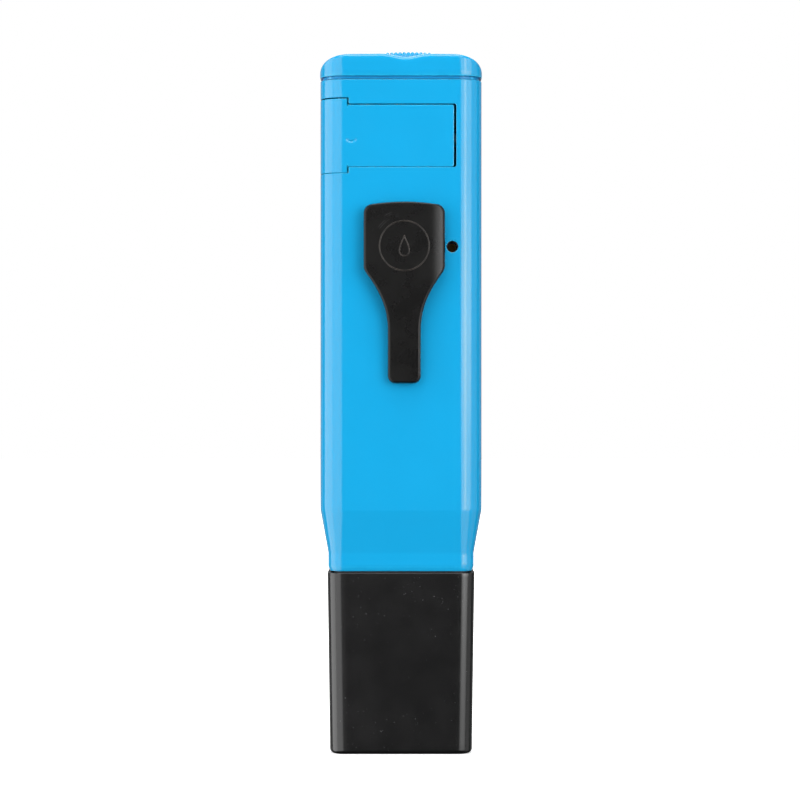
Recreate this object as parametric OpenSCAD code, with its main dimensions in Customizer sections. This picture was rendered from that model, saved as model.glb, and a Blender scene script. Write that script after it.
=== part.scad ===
// Slim pocket pH test pen, standing on its protective cap.
// X runs across the case, Y from the rear face (-Y) to the display side (+Y), and Z upwards.
// The origin is the centre of the protective cap's flat foot.

/* [Case] */
// Width of the case
case_w = 40.1; // [39.8:0.1:40.6]
// Depth of the case, rear face to front face
case_d = 23; // [22.8:0.1:23.4]
// Radius of the four long edges of the case
case_r = 5.7; // [5.2:0.1:6]
// Thickness of the moulded walls
wall = 1.6; // [1.5:0.05:1.65]
// Height of the upper edge of the two shells
case_top = 167; // [166.8:0.1:167.2]
// Height at which the case starts to narrow
taper_top = 60.5; // [59:0.5:61]
// Height at which the narrowing ends and the straight neck starts
taper_low = 49.9; // [49.6:0.1:50.2]
// Width of the neck
neck_w = 36.2; // [36:0.1:36.4]
// Depth of the neck
neck_d = 20; // [19.8:0.1:20.2]
// Radius of the neck's long edges
neck_r = 3.5; // [3.2:0.1:3.8]
// Height of the neck's lower edge
neck_low = 45.35; // [45.3:0.05:45.5]
// Place in Y of the plane where the two shells meet
parting_y = 3; // [3:0.05:3.1]

/* [Protective cap] */
// Height of the protective cap
cap_h = 45; // [44.8:0.05:45]
// Width of the cap at its mouth
cap_mouth_w = 36.6; // [36.5:0.1:36.8]
// Depth of the cap at its mouth
cap_mouth_d = 20.4; // [20.4:0.1:20.6]
// Width of the cap at its foot
cap_foot_w = 35.3; // [35.2:0.1:35.6]
// Depth of the cap at its foot
cap_foot_d = 19.2; // [19.1:0.1:19.5]
// Thickness of the cap's wall
cap_wall = 1.3; // [1.2:0.05:1.3]

/* [Top cap and switch] */
// Width of the top cap
top_w = 40.3; // [40.2:0.1:40.7]
// Height of the top cap's lower edge, above the shadow groove
top_low = 167.85; // [167.6:0.05:168]
// Height of the top cap's crown
top_high = 173.45; // [173.3:0.05:173.6]
// Place in X of the finger scoop across the top
scoop_x = 1.2; // [0.8:0.1:1.6]
// Depth of the finger scoop
scoop_depth = 0.9; // [0.6:0.1:1.1]
// Travel of the switch knob
switch_travel = 3.7; // [3:0.1:3.9]
// Length of the ribbed grip on the knob
knob_w = 11.5; // [10.5:0.1:11.6]
// Number of ribs on the knob
knob_ribs = 11; // [8:1:13]

/* [Battery drawer] */
// Place in Z of the drawer's middle
drawer_z = 153.15; // [153.05:0.05:153.2]
// Height of the drawer's tongue opening in the rear face
tongue_h = 15.64; // [15.6:0.02:15.7]
// Height of the drawer's head opening at the side
head_h = 18.68; // [18.4:0.04:18.8]
// Place in X where the head ends and the tongue starts
head_x = -12.95; // [-13.2:0.05:-12.6]
// Place in X of the tongue's closed end
tongue_x = 13.08; // [13.02:0.02:13.12]
// Gap beyond the tongue's end
tongue_gap = 0.57; // [0.4:0.01:0.7]
// Diameter of one button cell
cell_d = 11.6; // [11.4:0.1:11.6]
// Height of one button cell
cell_h = 5.4; // [5.3:0.02:5.4]

/* [Pocket clip] */
// Place in X of the clip's middle
clip_x = 0.81; // [0:0.05:1.2]
// Width of the clip's head
clip_head_w = 19.5; // [18.8:0.1:20]
// Width of the clip's tongue
clip_tongue_w = 7.6; // [7:0.1:8]
// Height of the clip's upper edge
clip_top = 136.45; // [136:0.05:137]
// Height of the clip's lower end
clip_low = 91.9; // [91.4:0.1:92.4]

/* [Calibration trimmer] */
// Place in X of the trimmer's axis
trim_x = 12.66; // [12.5:0.02:12.8]
// Place in Z of the trimmer's axis
trim_z = 125.65; // [125:0.05:126]
// Radius of the screwdriver hole in the rear face
trim_hole_r = 1.42; // [1.35:0.01:1.5]

/* [Display] */
// Place in Z of the display's middle
window_z = 137; // [136.5:0.5:138]
// Width of the clear window
window_w = 24.4; // [23.6:0.2:25]
// Height of the clear window
window_h = 16; // [15:0.2:16.4]

/* [Electrode] */
// Radius of the electrode's body
electrode_r = 6; // [5.8:0.1:6]
// Radius of the glass bulb
bulb_r = 4; // [3.8:0.1:4]
// Height of the bulb's middle
bulb_z = 12.2; // [12.1:0.1:12.4]

/* [Hidden] */
$fn = 64;
eps = 0.05;
taper_fn = 48;
far = 200;
slide_gap = 0.15;
rear_y = -case_d / 2;
front_y = case_d / 2;
inner_w = case_w - 2 * wall;
inner_d = case_d - 2 * wall;
neck_edge_h = 1.2;
neck_edge_in = 0.45;

// Top cap and switch
top_d = case_d + 0.2;
groove_w = 39.3;
groove_d = 22.2;
plug_low = 163.6;
roof_low = 171;
plug_clear = 0.15;
plug_wall = 1.2;
top_corner_r = 4.2;
top_crown = 0.4;
scoop_half = 5.4;
scoop_r = (scoop_half * scoop_half + scoop_depth * scoop_depth) / (2 * scoop_depth);
knob_x = switch_travel / 2;
knob_d = 6.9;
knob_top = 175;
knob_drop = 0.8;
rib_depth = 0.45;
flange_low = 169.9;
flange_h = 0.8;
switch_w = 8.6;
switch_d = 4.4;
switch_low = 163.3;
switch_top = 167.7;
lever_w = 2.2;
lever_d = 1.6;

// Battery drawer
drawer_front = 2.6;
cell_y = -3.9;
stack_x = -10;
trough_clear = 0.1;
contact_t = 0.25;
contact_y = 2.9;
shelf_t = 1;

// Board and display
board_rear = 4.7;
board_front = 5.9;
board_low = 71;
board_high = 165.3;
board_half_w = 16.5;
board_screws_at = [[-13.5, 77], [13.5, 77], [-13.5, 121.5]];
case_screws_at = [[-11, 66], [11, 66]];
label_w = 27.8;
label_low = 62;
label_high = 158;
label_depth = 0.3;
lens_depth = 0.8;
glass_rear = 7.3;
glass_front = 9.3;

// Pocket clip
clip_rear = -15.4;
clip_inner = -13.2;
clip_corner_r = 2.2;
clip_shoulder = 120.4;
clip_waist = 105.2;
clip_arch = 0.55;
foot_top = 131;
foot_low = 122;

// Electrode
holder_low = 36;
spigot_w = 33.2;
spigot_d = 17;
neck_plug_w = 32.6;
neck_plug_d = 16.4;
neck_plug_top = 54;
lock_z = 52;
lock_reach = 6.2;
electrode_top = 57;
electrode_low = 15.6;
electrode_bore = 4.2;
stem_r = 2.6;
guard_r = 7.6;

case_blue = [0.11, 0.69, 0.92];
cap_black = [0.12, 0.12, 0.12];
clip_black = [0.1, 0.1, 0.1];
nickel = [0.78, 0.77, 0.74];
steel = [0.66, 0.67, 0.68];
brass = [0.8, 0.64, 0.32];

// ---- Shared shapes ----

// Rounded rectangle, centred, made of squares and true circles
module plan(w, d, r) {
    square([w - 2 * r, d], center = true);
    square([w, d - 2 * r], center = true);
    for (sx = [-1, 1], sy = [-1, 1]) {
        translate([sx * (w / 2 - r), sy * (d / 2 - r)]) circle(r);
    }
}

// Upright block with rounded long edges between two heights
module prism(w, d, r, low, high) {
    translate([0, 0, low]) linear_extrude(high - low) plan(w, d, r);
}

// Box given by its lowest and highest corners
module block(low, high) {
    translate(low) cube([for (i = [0:2]) high[i] - low[i]]);
}

// Outline drawn in X and Z, extruded through the depth from y0 to y1
module through_depth(y0, y1) {
    translate([0, y1, 0]) rotate([90, 0, 0]) linear_extrude(y1 - y0) children();
}

// Outline drawn in Y and Z, extruded along X from x0 to x1
module along_width(x0, x1) {
    translate([x0, 0, 0]) rotate([90, 0, 90]) linear_extrude(x1 - x0) children();
}

// Round bar or hole along Y
module rod_y(x, z, r, y0, y1) {
    translate([x, y1, z]) rotate([90, 0, 0]) cylinder(r = r, h = y1 - y0);
}

// Round bar or hole along X
module rod_x(y, z, r, x0, x1) {
    translate([x0, y, z]) rotate([0, 90, 0]) cylinder(r = r, h = x1 - x0);
}

// Blend between two rounded rectangles at two heights
module blend(w0, d0, r0, z0, w1, d1, r1, z1) {
    hull() {
        prism(w0, d0, r0, z0 - eps, z0, $fn = taper_fn);
        prism(w1, d1, r1, z1, z1 + eps, $fn = taper_fn);
    }
}

// The whole case from neck to upper edge, pulled in by inset all round
module case_solid(inset) {
    reach = inset > 0 ? 1 : 0;
    prism(case_w - 2 * inset, case_d - 2 * inset, case_r - inset, taper_top, case_top + reach);
    blend(neck_w - 2 * inset, neck_d - 2 * inset, neck_r - inset, taper_low,
          case_w - 2 * inset, case_d - 2 * inset, case_r - inset, taper_top);
    if (inset > 0) {
        prism(neck_w - 2 * inset, neck_d - 2 * inset, neck_r - inset, neck_low - reach, taper_low);
    } else {
        edge = 2 * neck_edge_in;
        prism(neck_w, neck_d, neck_r, neck_low + neck_edge_h, taper_low);
        hull() {
            prism(neck_w - edge, neck_d - edge, neck_r - neck_edge_in, neck_low, neck_low + 0.2,
                  $fn = taper_fn);
            prism(neck_w, neck_d, neck_r, neck_low + neck_edge_h, neck_low + neck_edge_h + eps,
                  $fn = taper_fn);
        }
    }
}

module case_wall() {
    difference() {
        case_solid(0);
        case_solid(wall);
    }
}

// ---- Case ----

// T-shaped opening: a head round the left-hand edge and a tongue across the rear face
module drawer_opening() {
    block([-far, rear_y - 1, drawer_z - head_h / 2],
          [head_x, parting_y + 1, drawer_z + head_h / 2]);
    block([head_x - 1, rear_y - 1, drawer_z - tongue_h / 2],
          [tongue_x + tongue_gap, rear_y + wall + 0.2, drawer_z + tongue_h / 2]);
}

module rear_shell() {
    color(case_blue)
    difference() {
        union() {
            intersection() {
                case_wall();
                block([-far, -far, 0], [far, parting_y, far]);
            }
            // shelves that the drawer slides between
            for (side = [-1, 1]) {
                middle = drawer_z + side * (tongue_h / 2 + shelf_t / 2 + 0.05);
                block([head_x + 0.3, rear_y + wall - 0.3, middle - shelf_t / 2],
                      [tongue_x + 1.5, parting_y - 0.1, middle + shelf_t / 2]);
            }
            // tube that guides a screwdriver to the trimmer
            rod_y(trim_x, trim_z, trim_hole_r + 1, rear_y + wall / 2, rear_y + 4.6);
            // posts that take the case screws
            for (at = case_screws_at) rod_y(at[0], at[1], 2.75, rear_y + wall / 2, parting_y);
            // peg that locks the electrode holder
            rod_y(0, lock_z, 1.5, -neck_d / 2 + wall / 2, -lock_reach);
        }
        drawer_opening();
        rod_y(trim_x, trim_z, trim_hole_r, rear_y - 1, rear_y + 5);
        for (at = case_screws_at) rod_y(at[0], at[1], 1.15, -6, parting_y + 1);
        for (z = [foot_low + 2, foot_top - 2]) rod_y(clip_x, z, 1.25, rear_y - 1, rear_y + wall + 1);
    }
}

// Rounded rectangle outline in X and Z
module panel(w, low, high, r) {
    translate([0, (low + high) / 2]) plan(w, high - low, r);
}

module front_shell() {
    color(case_blue)
    difference() {
        union() {
            intersection() {
                case_wall();
                block([-far, parting_y, 0], [far, far, far]);
            }
            for (at = board_screws_at) {
                rod_y(at[0], at[1], 2, board_front, front_y - wall / 2);
            }
            for (at = case_screws_at) rod_y(at[0], at[1], 2.9, parting_y, front_y - wall / 2);
            rod_y(0, lock_z, 1.5, lock_reach, neck_d / 2 - wall / 2);
        }
        // recess for the label
        through_depth(front_y - label_depth, front_y + 1) panel(label_w, label_low, label_high, 3);
        // seat of the clear window, and the opening behind it
        through_depth(front_y - lens_depth, front_y + 1)
            panel(window_w + 0.2, window_z - window_h / 2 - 0.1, window_z + window_h / 2 + 0.1, 1);
        through_depth(front_y - wall - 1, front_y + 1)
            panel(window_w - 3, window_z - window_h / 2 + 1.5, window_z + window_h / 2 - 1.5, 0.8);
        for (at = board_screws_at) rod_y(at[0], at[1], 1.05, board_front - 1, front_y - 1.2);
        for (at = case_screws_at) {
            rod_y(at[0], at[1], 1.2, parting_y - 1, front_y + 1);
            rod_y(at[0], at[1], 2.1, front_y - 2.2, front_y + 1);
        }
    }
}

// ---- Top cap and switch ----

// Upper outline of the top cap: two rounded corners joined by a low crown
function top_corner(side, step) =
    let (a = side > 0 ? step : 90 - step)
    [side * (top_w / 2 - top_corner_r + top_corner_r * cos(a)),
     top_high - top_crown - top_corner_r + top_corner_r * sin(a)];
function crown(t) =
    [t * (top_w / 2 - top_corner_r), top_high - top_crown * t * t];

module top_outline() {
    polygon(concat(
        [[top_w / 2, top_low]],
        [for (a = [0:9:81]) top_corner(1, a)],
        [for (t = [1:-0.2:-1]) crown(t)],
        [for (a = [9:9:90]) top_corner(-1, a)],
        [[-top_w / 2, top_low]]
    ));
}

module top_cap() {
    color(case_blue)
    difference() {
        union() {
            intersection() {
                prism(top_w, top_d, case_r + 0.1, top_low, top_high + 1);
                through_depth(-far, far) top_outline();
            }
            prism(groove_w, groove_d, case_r - 0.4, case_top, top_low + eps);
            prism(inner_w - 2 * plug_clear, inner_d - 2 * plug_clear, case_r - wall - plug_clear,
                  plug_low, case_top + eps);
        }
        prism(inner_w - 2 * plug_wall, inner_d - 2 * plug_wall, case_r - wall - plug_wall,
              plug_low - 1, roof_low);
        rod_y(scoop_x, top_high - scoop_depth + scoop_r, scoop_r, -far, far);
        block([-knob_x - knob_w / 2 - 0.15, -knob_d / 2 - 0.15, roof_low - 1],
              [knob_x + knob_w / 2 + 0.15, knob_d / 2 + 0.15, top_high + 5]);
    }
}

// Crest or valley of the knob's ribs, counted in half ribs from one end to the other
function rib_point(i) =
    let (t = i / knob_ribs - 1)
    [knob_x + t * knob_w / 2, knob_top - knob_drop * t * t - (i % 2 == 0 ? rib_depth : 0)];

module switch_knob() {
    color(case_blue)
    difference() {
        union() {
            through_depth(-knob_d / 2, knob_d / 2)
                polygon(concat(
                    [for (i = [0:2 * knob_ribs]) rib_point(i)],
                    [[knob_x + knob_w / 2, flange_low], [knob_x - knob_w / 2, flange_low]]
                ));
            block([knob_x - 9.8, -4.6, flange_low], [knob_x + 9.8, 4.6, flange_low + flange_h]);
            block([knob_x - 2.4, -2, flange_low - 1.5], [knob_x + 2.4, 2, flange_low + 0.2]);
        }
        block([knob_x - lever_w / 2 - 0.05, -lever_d / 2 - 0.05, flange_low - 2],
              [knob_x + lever_w / 2 + 0.05, lever_d / 2 + 0.05, flange_low + 0.1]);
    }
}

module switch_lever() {
    color("black")
    block([knob_x - lever_w / 2, -lever_d / 2, switch_top - 1.1],
          [knob_x + lever_w / 2, lever_d / 2, flange_low]);
}

module slide_switch() {
    color(steel) {
        difference() {
            block([-switch_w / 2, -switch_d / 2, switch_low],
                  [switch_w / 2, switch_d / 2, switch_top]);
            block([-knob_x - lever_w / 2 - 0.1, -lever_d / 2 - 0.1, switch_top - 1.2],
                  [knob_x + lever_w / 2 + 0.1, lever_d / 2 + 0.1, switch_top + 1]);
        }
        for (x = [-2.5, 0, 2.5]) {
            block([x - 0.3, switch_d / 2 - 0.1, switch_low + 0.6],
                  [x + 0.3, board_rear, switch_low + 1]);
        }
    }
}

// ---- Display ----

module display_window() {
    color([0.8, 0.85, 0.85, 0.5])
    through_depth(front_y - lens_depth, front_y - 0.05)
        panel(window_w, window_z - window_h / 2, window_z + window_h / 2, 0.9);
}

module display_bezel() {
    color("dimgray")
    difference() {
        block([-14.9, board_front, window_z - 10.8], [14.9, front_y - wall - 0.1, window_z + 10.8]);
        block([-14.1, board_front - 1, window_z - 9.6], [14.1, glass_front + 0.05, window_z + 9.6]);
        block([-10.6, 0, window_z - 6.4], [10.6, far, window_z + 6.4]);
    }
}

module lcd_glass() {
    color([0.62, 0.68, 0.6])
    block([-14, glass_rear, window_z - 9.5], [14, glass_front, window_z + 9.5]);
}

module zebra_strip(side) {
    color("dimgray")
    block([-13, board_front, window_z + side * 8 - 1], [13, glass_rear, window_z + side * 8 + 1]);
}

module front_label() {
    color("white")
    difference() {
        through_depth(front_y - label_depth, front_y - 0.05)
            panel(label_w - 0.2, label_low + 0.1, label_high - 0.1, 2.9);
        through_depth(front_y - 1, front_y + 1)
            panel(window_w + 0.2, window_z - window_h / 2 - 0.1, window_z + window_h / 2 + 0.1, 1);
    }
}

// ---- Circuit board ----

module circuit_board() {
    color("darkgreen")
    difference() {
        block([-board_half_w, board_rear, board_low], [board_half_w, board_front, board_high]);
        for (at = board_screws_at) rod_y(at[0], at[1], 1.2, board_rear - 1, board_front + 1);
    }
}

// Flat chip on the board's rear face with rows of legs above and below
module chip(x, z, w, h, t, legs) {
    color([0.13, 0.13, 0.14]) block([x - w / 2, board_rear - 0.2 - t, z - h / 2],
                                    [x + w / 2, board_rear - 0.2, z + h / 2]);
    pitch = w / legs;
    color(nickel)
    for (i = [0:legs - 1], side = [-1, 1]) {
        leg_x = x - w / 2 + (i + 0.5) * pitch;
        foot = z + side * (h / 2 + 0.45);
        block([leg_x - 0.2, board_rear - 0.2, foot - 0.5], [leg_x + 0.2, board_rear, foot + 0.5]);
        block([leg_x - 0.2, board_rear - 0.2 - t / 2, foot - 0.5],
              [leg_x + 0.2, board_rear - 0.1, foot - 0.5 + 0.3 + (side < 0 ? 0.5 : 0)]);
    }
}

module controller_chip() {
    chip(-4, 104, 12, 7.5, 1.8, 14);
}

module amplifier_chip() {
    chip(7, 88, 5, 3.9, 1.5, 4);
}

// Small two-ended parts in a row on the board's rear face
module small_parts(places, l, w, t, shade) {
    for (at = places) {
        color(shade) block([at[0] - l / 2 + 0.3, board_rear - t, at[1] - w / 2],
                           [at[0] + l / 2 - 0.3, board_rear, at[1] + w / 2]);
        for (side = [-1, 1]) {
            end_x = at[0] + side * (l / 2 - 0.15);
            color(nickel) block([end_x - 0.2, board_rear - t - 0.05, at[1] - w / 2],
                                [end_x + 0.2, board_rear, at[1] + w / 2]);
        }
    }
}

module board_resistors() {
    small_parts(concat([for (i = [0:4]) [10, 96 + 2.2 * i]], [for (i = [0:3]) [-12, 82 + 2.2 * i]]),
                2, 1.25, 0.5, [0.12, 0.12, 0.13]);
}

module board_capacitors() {
    small_parts([for (i = [0:3]) [-2 + 3.2 * (i % 2), 80 + 3 * floor(i / 2)]],
                2, 1.25, 0.9, [0.72, 0.56, 0.38]);
}

// Small metal can lying on the board, with two wire legs bent down into it
module quartz_crystal() {
    color(steel) {
        translate([-12, board_rear - 1.2, 94]) cylinder(r = 1, h = 6);
        for (leg_x = [-12.4, -11.6]) {
            block([leg_x - 0.1, board_rear - 1.3, 92.5], [leg_x + 0.1, board_rear - 1.1, 94.1]);
            block([leg_x - 0.1, board_rear - 1.2, 92.5], [leg_x + 0.1, board_rear, 92.7]);
        }
    }
}

module trimmer_body() {
    color([0.1, 0.3, 0.75])
    difference() {
        block([trim_x - 7.9, -5.3, trim_z - 2.4], [trim_x + 1.6, board_rear, trim_z + 2.4]);
        rod_y(trim_x, trim_z, 1.15, -6, 1);
    }
}

module trimmer_screw() {
    color(brass)
    difference() {
        rod_y(trim_x, trim_z, 1.1, -6.6, 0.9);
        block([trim_x - 2, -7, trim_z - 0.25], [trim_x + 2, -6, trim_z + 0.25]);
    }
}

// Screw along Y with its head towards the rear (-1) or the front (1), and a cross recess
module screw_y(x, z, r, head_r, head_h, y_head, length, facing) {
    top = y_head + facing * head_h;
    tip = y_head - facing * length;
    difference() {
        union() {
            rod_y(x, z, head_r, min(y_head, top), max(y_head, top));
            rod_y(x, z, r, min(y_head, tip), max(y_head, tip));
        }
        for (a = [[0.25, head_r * 0.6], [head_r * 0.6, 0.25]]) {
            block([x - a[0], top - 0.7, z - a[1]], [x + a[0], top + 0.7, z + a[1]]);
        }
    }
}

module board_screws() {
    color(steel) for (at = board_screws_at) screw_y(at[0], at[1], 1, 1.9, 1.2, board_rear, 5, -1);
}

module case_screws() {
    color(steel) for (at = case_screws_at) screw_y(at[0], at[1], 1.1, 1.95, 1.4, front_y - 2.2, 14, 1);
}

// ---- Battery drawer ----

module battery_drawer() {
    tray_h = tongue_h - 2 * slide_gap;
    hollow = cell_d / 2 + trough_clear;
    stack_end = stack_x + 4 * cell_h;
    color(case_blue)
    difference() {
        union() {
            // head: a piece of the case's own wall that wraps the long edge
            intersection() {
                case_wall();
                block([-far, -far, drawer_z - head_h / 2 + slide_gap],
                      [head_x - slide_gap, parting_y - slide_gap, drawer_z + head_h / 2 - slide_gap]);
            }
            // tray behind the tongue
            intersection() {
                prism(case_w, case_d, case_r, taper_top, case_top);
                block([-far, -far, drawer_z - tray_h / 2], [tongue_x, drawer_front, drawer_z + tray_h / 2]);
            }
        }
        rod_x(cell_y, drawer_z, hollow, stack_x - 0.4, stack_end + 0.15);
        block([stack_x - 0.4, cell_y, drawer_z - hollow], [stack_end + 0.15, far, drawer_z + hollow]);
        rod_x(cell_y, drawer_z, 3, stack_end, tongue_x + 1);
        block([-case_w / 2 + wall, rear_y + wall, drawer_z - 6.1], [stack_x - 1.5, far, drawer_z + 6.1]);
    }
}

module drawer_strip() {
    tip = drawer_front + contact_t;
    edge = drawer_z + tongue_h / 2 - 0.4;
    color(nickel) {
        block([stack_x - 0.35, -8, drawer_z - 3.5], [stack_x - 0.05, tip, drawer_z + 3.5]);
        block([stack_x - 0.35, drawer_front, drawer_z - 3.5], [stack_x + 1, tip, edge]);
        block([stack_x - 0.35, drawer_front, edge - 1.3], [stack_x + 21, tip, edge]);
    }
}

// Button cell: a can with a smaller raised pole on the side nearer the drawer's head
module button_cell(i) {
    x = stack_x + (i - 1) * cell_h;
    color(nickel)
    translate([x, cell_y, drawer_z]) rotate([0, 90, 0])
        rotate_extrude()
        polygon([
            [0, 0], [cell_d * 0.4, 0], [cell_d * 0.42, 0.35], [cell_d / 2 - 0.3, 0.45],
            [cell_d / 2, 0.75], [cell_d / 2, cell_h - 0.3], [cell_d / 2 - 0.25, cell_h - 0.05],
            [cell_d / 2 - 1, cell_h - 0.02], [0, cell_h - 0.02]
        ]);
}

module contact_spring() {
    stack_end = stack_x + 4 * cell_h;
    color(nickel) {
        block([14.4, -6.4, drawer_z - 2.5], [14.7, board_rear, drawer_z + 2.5]);
        block([14.4, board_rear - 0.3, drawer_z - 2.5], [16.2, board_rear, drawer_z + 2.5]);
        rod_x(cell_y, drawer_z, 2, stack_end + 0.05, 14.5);
    }
}

module contact_leaf() {
    edge = drawer_z + tongue_h / 2 - 0.4;
    color(nickel) {
        block([5, board_rear - 0.3, edge - 1.6], [9, board_rear, edge + 0.2]);
        block([8.7, contact_y, edge - 1.3], [9, board_rear, edge]);
        block([8.7, contact_y, edge - 1.3], [10.7, contact_y + 0.3, edge]);
    }
}

// ---- Pocket clip ----

// Point at t on a cubic curve through four control points
function bezier(p, t) =
    pow(1 - t, 3) * p[0] + 3 * t * pow(1 - t, 2) * p[1]
    + 3 * t * t * (1 - t) * p[2] + pow(t, 3) * p[3];

// Right-hand half of the clip's outline, from the middle of its arched top to its lower end
function clip_half() =
    let (
        h = clip_head_w / 2,
        n = clip_tongue_w / 2,
        r = clip_corner_r,
        shoulder_z = clip_top - clip_arch - r,
        flare = [[h - 0.35, clip_shoulder], [h - 3.75, clip_shoulder - 4.2],
                 [n, clip_waist + 5.8], [n, clip_waist]],
        tip_r = 1.8
    )
    concat(
        [for (t = [0:0.25:0.75]) [t * (h - r), clip_top - clip_arch * t * t]],
        [for (a = [90:-15:0]) [h - r + r * cos(a), shoulder_z + r * sin(a)]],
        [[h, clip_shoulder + 0.9]],
        [for (t = [0:0.125:1]) bezier(flare, t)],
        [for (a = [0:-15:-90]) [n - tip_r + tip_r * cos(a), clip_low + tip_r + tip_r * sin(a)]]
    );

function mirrored(points) = [for (i = [len(points) - 1:-1:1]) [-points[i][0], points[i][1]]];

module clip_foot() {
    color(clip_black) {
        block([clip_x - 4, clip_inner + 0.05, foot_low], [clip_x + 4, rear_y, foot_top]);
        for (z = [foot_low + 2, foot_top - 2]) rod_y(clip_x, z, 1.2, rear_y - 0.5, rear_y + wall + 0.6);
    }
}

module pocket_clip() {
    color(clip_black)
    intersection() {
        translate([clip_x, 0, 0]) through_depth(-far, rear_y)
            polygon(concat(clip_half(), mirrored(clip_half())));
        along_width(-far, far) polygon([
            [clip_inner, clip_top + 1], [clip_rear, clip_top + 1], [clip_rear, 118],
            [clip_rear + 0.2, 112], [clip_rear + 1.4, clip_low - 1], [clip_rear + 3.2, clip_low - 1],
            [rear_y - 0.35, 94.5], [rear_y - 0.4, 97], [clip_inner, 113]
        ]);
    }
}

// ---- Electrode ----

module electrode_holder() {
    color("dimgray")
    difference() {
        union() {
            prism(spigot_w, spigot_d, 2.2, holder_low, neck_low);
            prism(neck_plug_w, neck_plug_d, 1.7, neck_low - eps, neck_plug_top);
        }
        // groove for the cap's seal
        difference() {
            prism(spigot_w + 2, spigot_d + 2, 3, 40, 41.6);
            prism(spigot_w - 1.2, spigot_d - 1.2, 1.6, 39, 42);
        }
        translate([0, 0, holder_low - 1]) cylinder(r = electrode_r + 0.05, h = 30);
        translate([0, 0, 47.95]) cylinder(r = electrode_r + 1, h = 1.6);
        for (side = [-1, 1]) {
            rod_y(0, lock_z, 1.6, min(side * 5.5, side * 9), max(side * 5.5, side * 9));
        }
    }
}

module electrode_seal() {
    color("black")
    translate([0, 0, 48]) rotate_extrude() translate([electrode_r + 0.02, 0]) square([0.93, 1.5]);
}

module cap_seal() {
    color("black")
    difference() {
        prism(spigot_w + 0.4, spigot_d + 0.4, 2.4, 40.05, 41.55);
        prism(spigot_w - 1.15, spigot_d - 1.15, 1.62, 39, 42);
    }
}

module electrode_body() {
    color([0.2, 0.21, 0.24])
    difference() {
        translate([0, 0, electrode_low]) cylinder(r = electrode_r, h = electrode_top - electrode_low);
        translate([0, 0, electrode_low + 3]) cylinder(r = electrode_bore, h = 38);
        translate([0, 0, electrode_low - 1]) cylinder(r = stem_r + 0.02, h = 6);
        translate([0, 4.3, electrode_low - 1]) cylinder(r = 0.92, h = 6);
    }
}

// Thin glass: a round bulb open into a straight stem
module glass_bulb() {
    color([0.8, 0.88, 0.9, 0.5])
    difference() {
        union() {
            translate([0, 0, bulb_z]) sphere(bulb_r);
            translate([0, 0, bulb_z]) cylinder(r = stem_r, h = 36);
        }
        translate([0, 0, bulb_z]) sphere(bulb_r - 0.5);
        translate([0, 0, bulb_z]) cylinder(r = stem_r - 0.6, h = 37);
    }
}

module silver_wire() {
    color("silver") translate([0, 0, bulb_z - 1]) cylinder(r = 0.4, h = 37);
}

module reference_junction() {
    color("white") translate([0, 4.3, electrode_low - 0.6]) cylinder(r = 0.9, h = 5);
}

// Ring round the electrode with four fingers that stand past the bulb
module bulb_guard() {
    color("dimgray")
    difference() {
        translate([0, 0, 6.4]) cylinder(r = guard_r, h = 19);
        translate([0, 0, 6]) cylinder(r = electrode_r + 0.02, h = 20);
        for (turn = [0, 90]) {
            rotate([0, 0, turn]) block([-4, -far / 2, 6], [4, far / 2, 17.5]);
        }
    }
}

// Lead: out of the board, round a bend and down to the electrode
module lead(x) {
    r = 0.4;
    bend = 1.4;
    down_y = 2;
    start_z = 73;
    rod_y(x, start_z, r, down_y + bend, board_rear);
    translate([x, down_y + bend, start_z - bend]) rotate([0, -90, 180])
        rotate_extrude(angle = 90) translate([bend, 0]) circle(r);
    translate([x, down_y, electrode_top]) cylinder(r = r, h = start_z - bend - electrode_top);
}

module electrode_leads() {
    color("firebrick") lead(-2);
    color("white") lead(2);
}

// ---- Protective cap ----

module protective_cap() {
    inside = 2 * cap_wall;
    color(cap_black)
    difference() {
        hull() {
            prism(cap_foot_w - 2, cap_foot_d - 2, 2.5, 0, eps, $fn = taper_fn);
            prism(cap_foot_w - 0.6, cap_foot_d - 0.6, 3.2, 0.3, 0.3 + eps, $fn = taper_fn);
            prism(cap_foot_w, cap_foot_d, 3.5, 1, 1 + eps, $fn = taper_fn);
            prism(cap_mouth_w, cap_mouth_d, 3.5, cap_h - eps, cap_h, $fn = taper_fn);
        }
        hull() {
            prism(cap_foot_w - inside, cap_foot_d - inside, 2.2, 1.6, 1.6 + eps, $fn = taper_fn);
            prism(cap_mouth_w - inside, cap_mouth_d - inside, 2.2, cap_h, cap_h + eps, $fn = taper_fn);
        }
    }
}

module cap_sponge() {
    color("khaki") prism(22, 13, 3, 1.62, 5);
}

// ---- Assembly ----

rear_shell();
front_shell();
top_cap();
switch_knob();
switch_lever();
slide_switch();
display_window();
display_bezel();
lcd_glass();
zebra_strip(1);  // zebra_strip_upper
zebra_strip(-1);  // zebra_strip_lower
front_label();
circuit_board();
controller_chip();
amplifier_chip();
board_resistors();
board_capacitors();
quartz_crystal();
trimmer_body();
trimmer_screw();
battery_drawer();
drawer_strip();
for (i = [1:4]) button_cell(i);
contact_spring();
contact_leaf();
board_screws();
case_screws();
clip_foot();
pocket_clip();
electrode_holder();
electrode_seal();
cap_seal();
electrode_body();
glass_bulb();
silver_wire();
reference_junction();
bulb_guard();
electrode_leads();
protective_cap();
cap_sponge();
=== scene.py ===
"""Looks of a slim pocket test pen that stands on its protective cap.

Shapes are worked out in millimetres with numpy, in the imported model's own frame, and go into
meshes in metres. Each sub-assembly is a class with its sizes as fields. Each finish is a small
frozen class that builds one procedural material.
"""

from __future__ import annotations

import logging
import math
from collections.abc import Callable, Sequence
from dataclasses import dataclass, field
from enum import Enum

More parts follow.
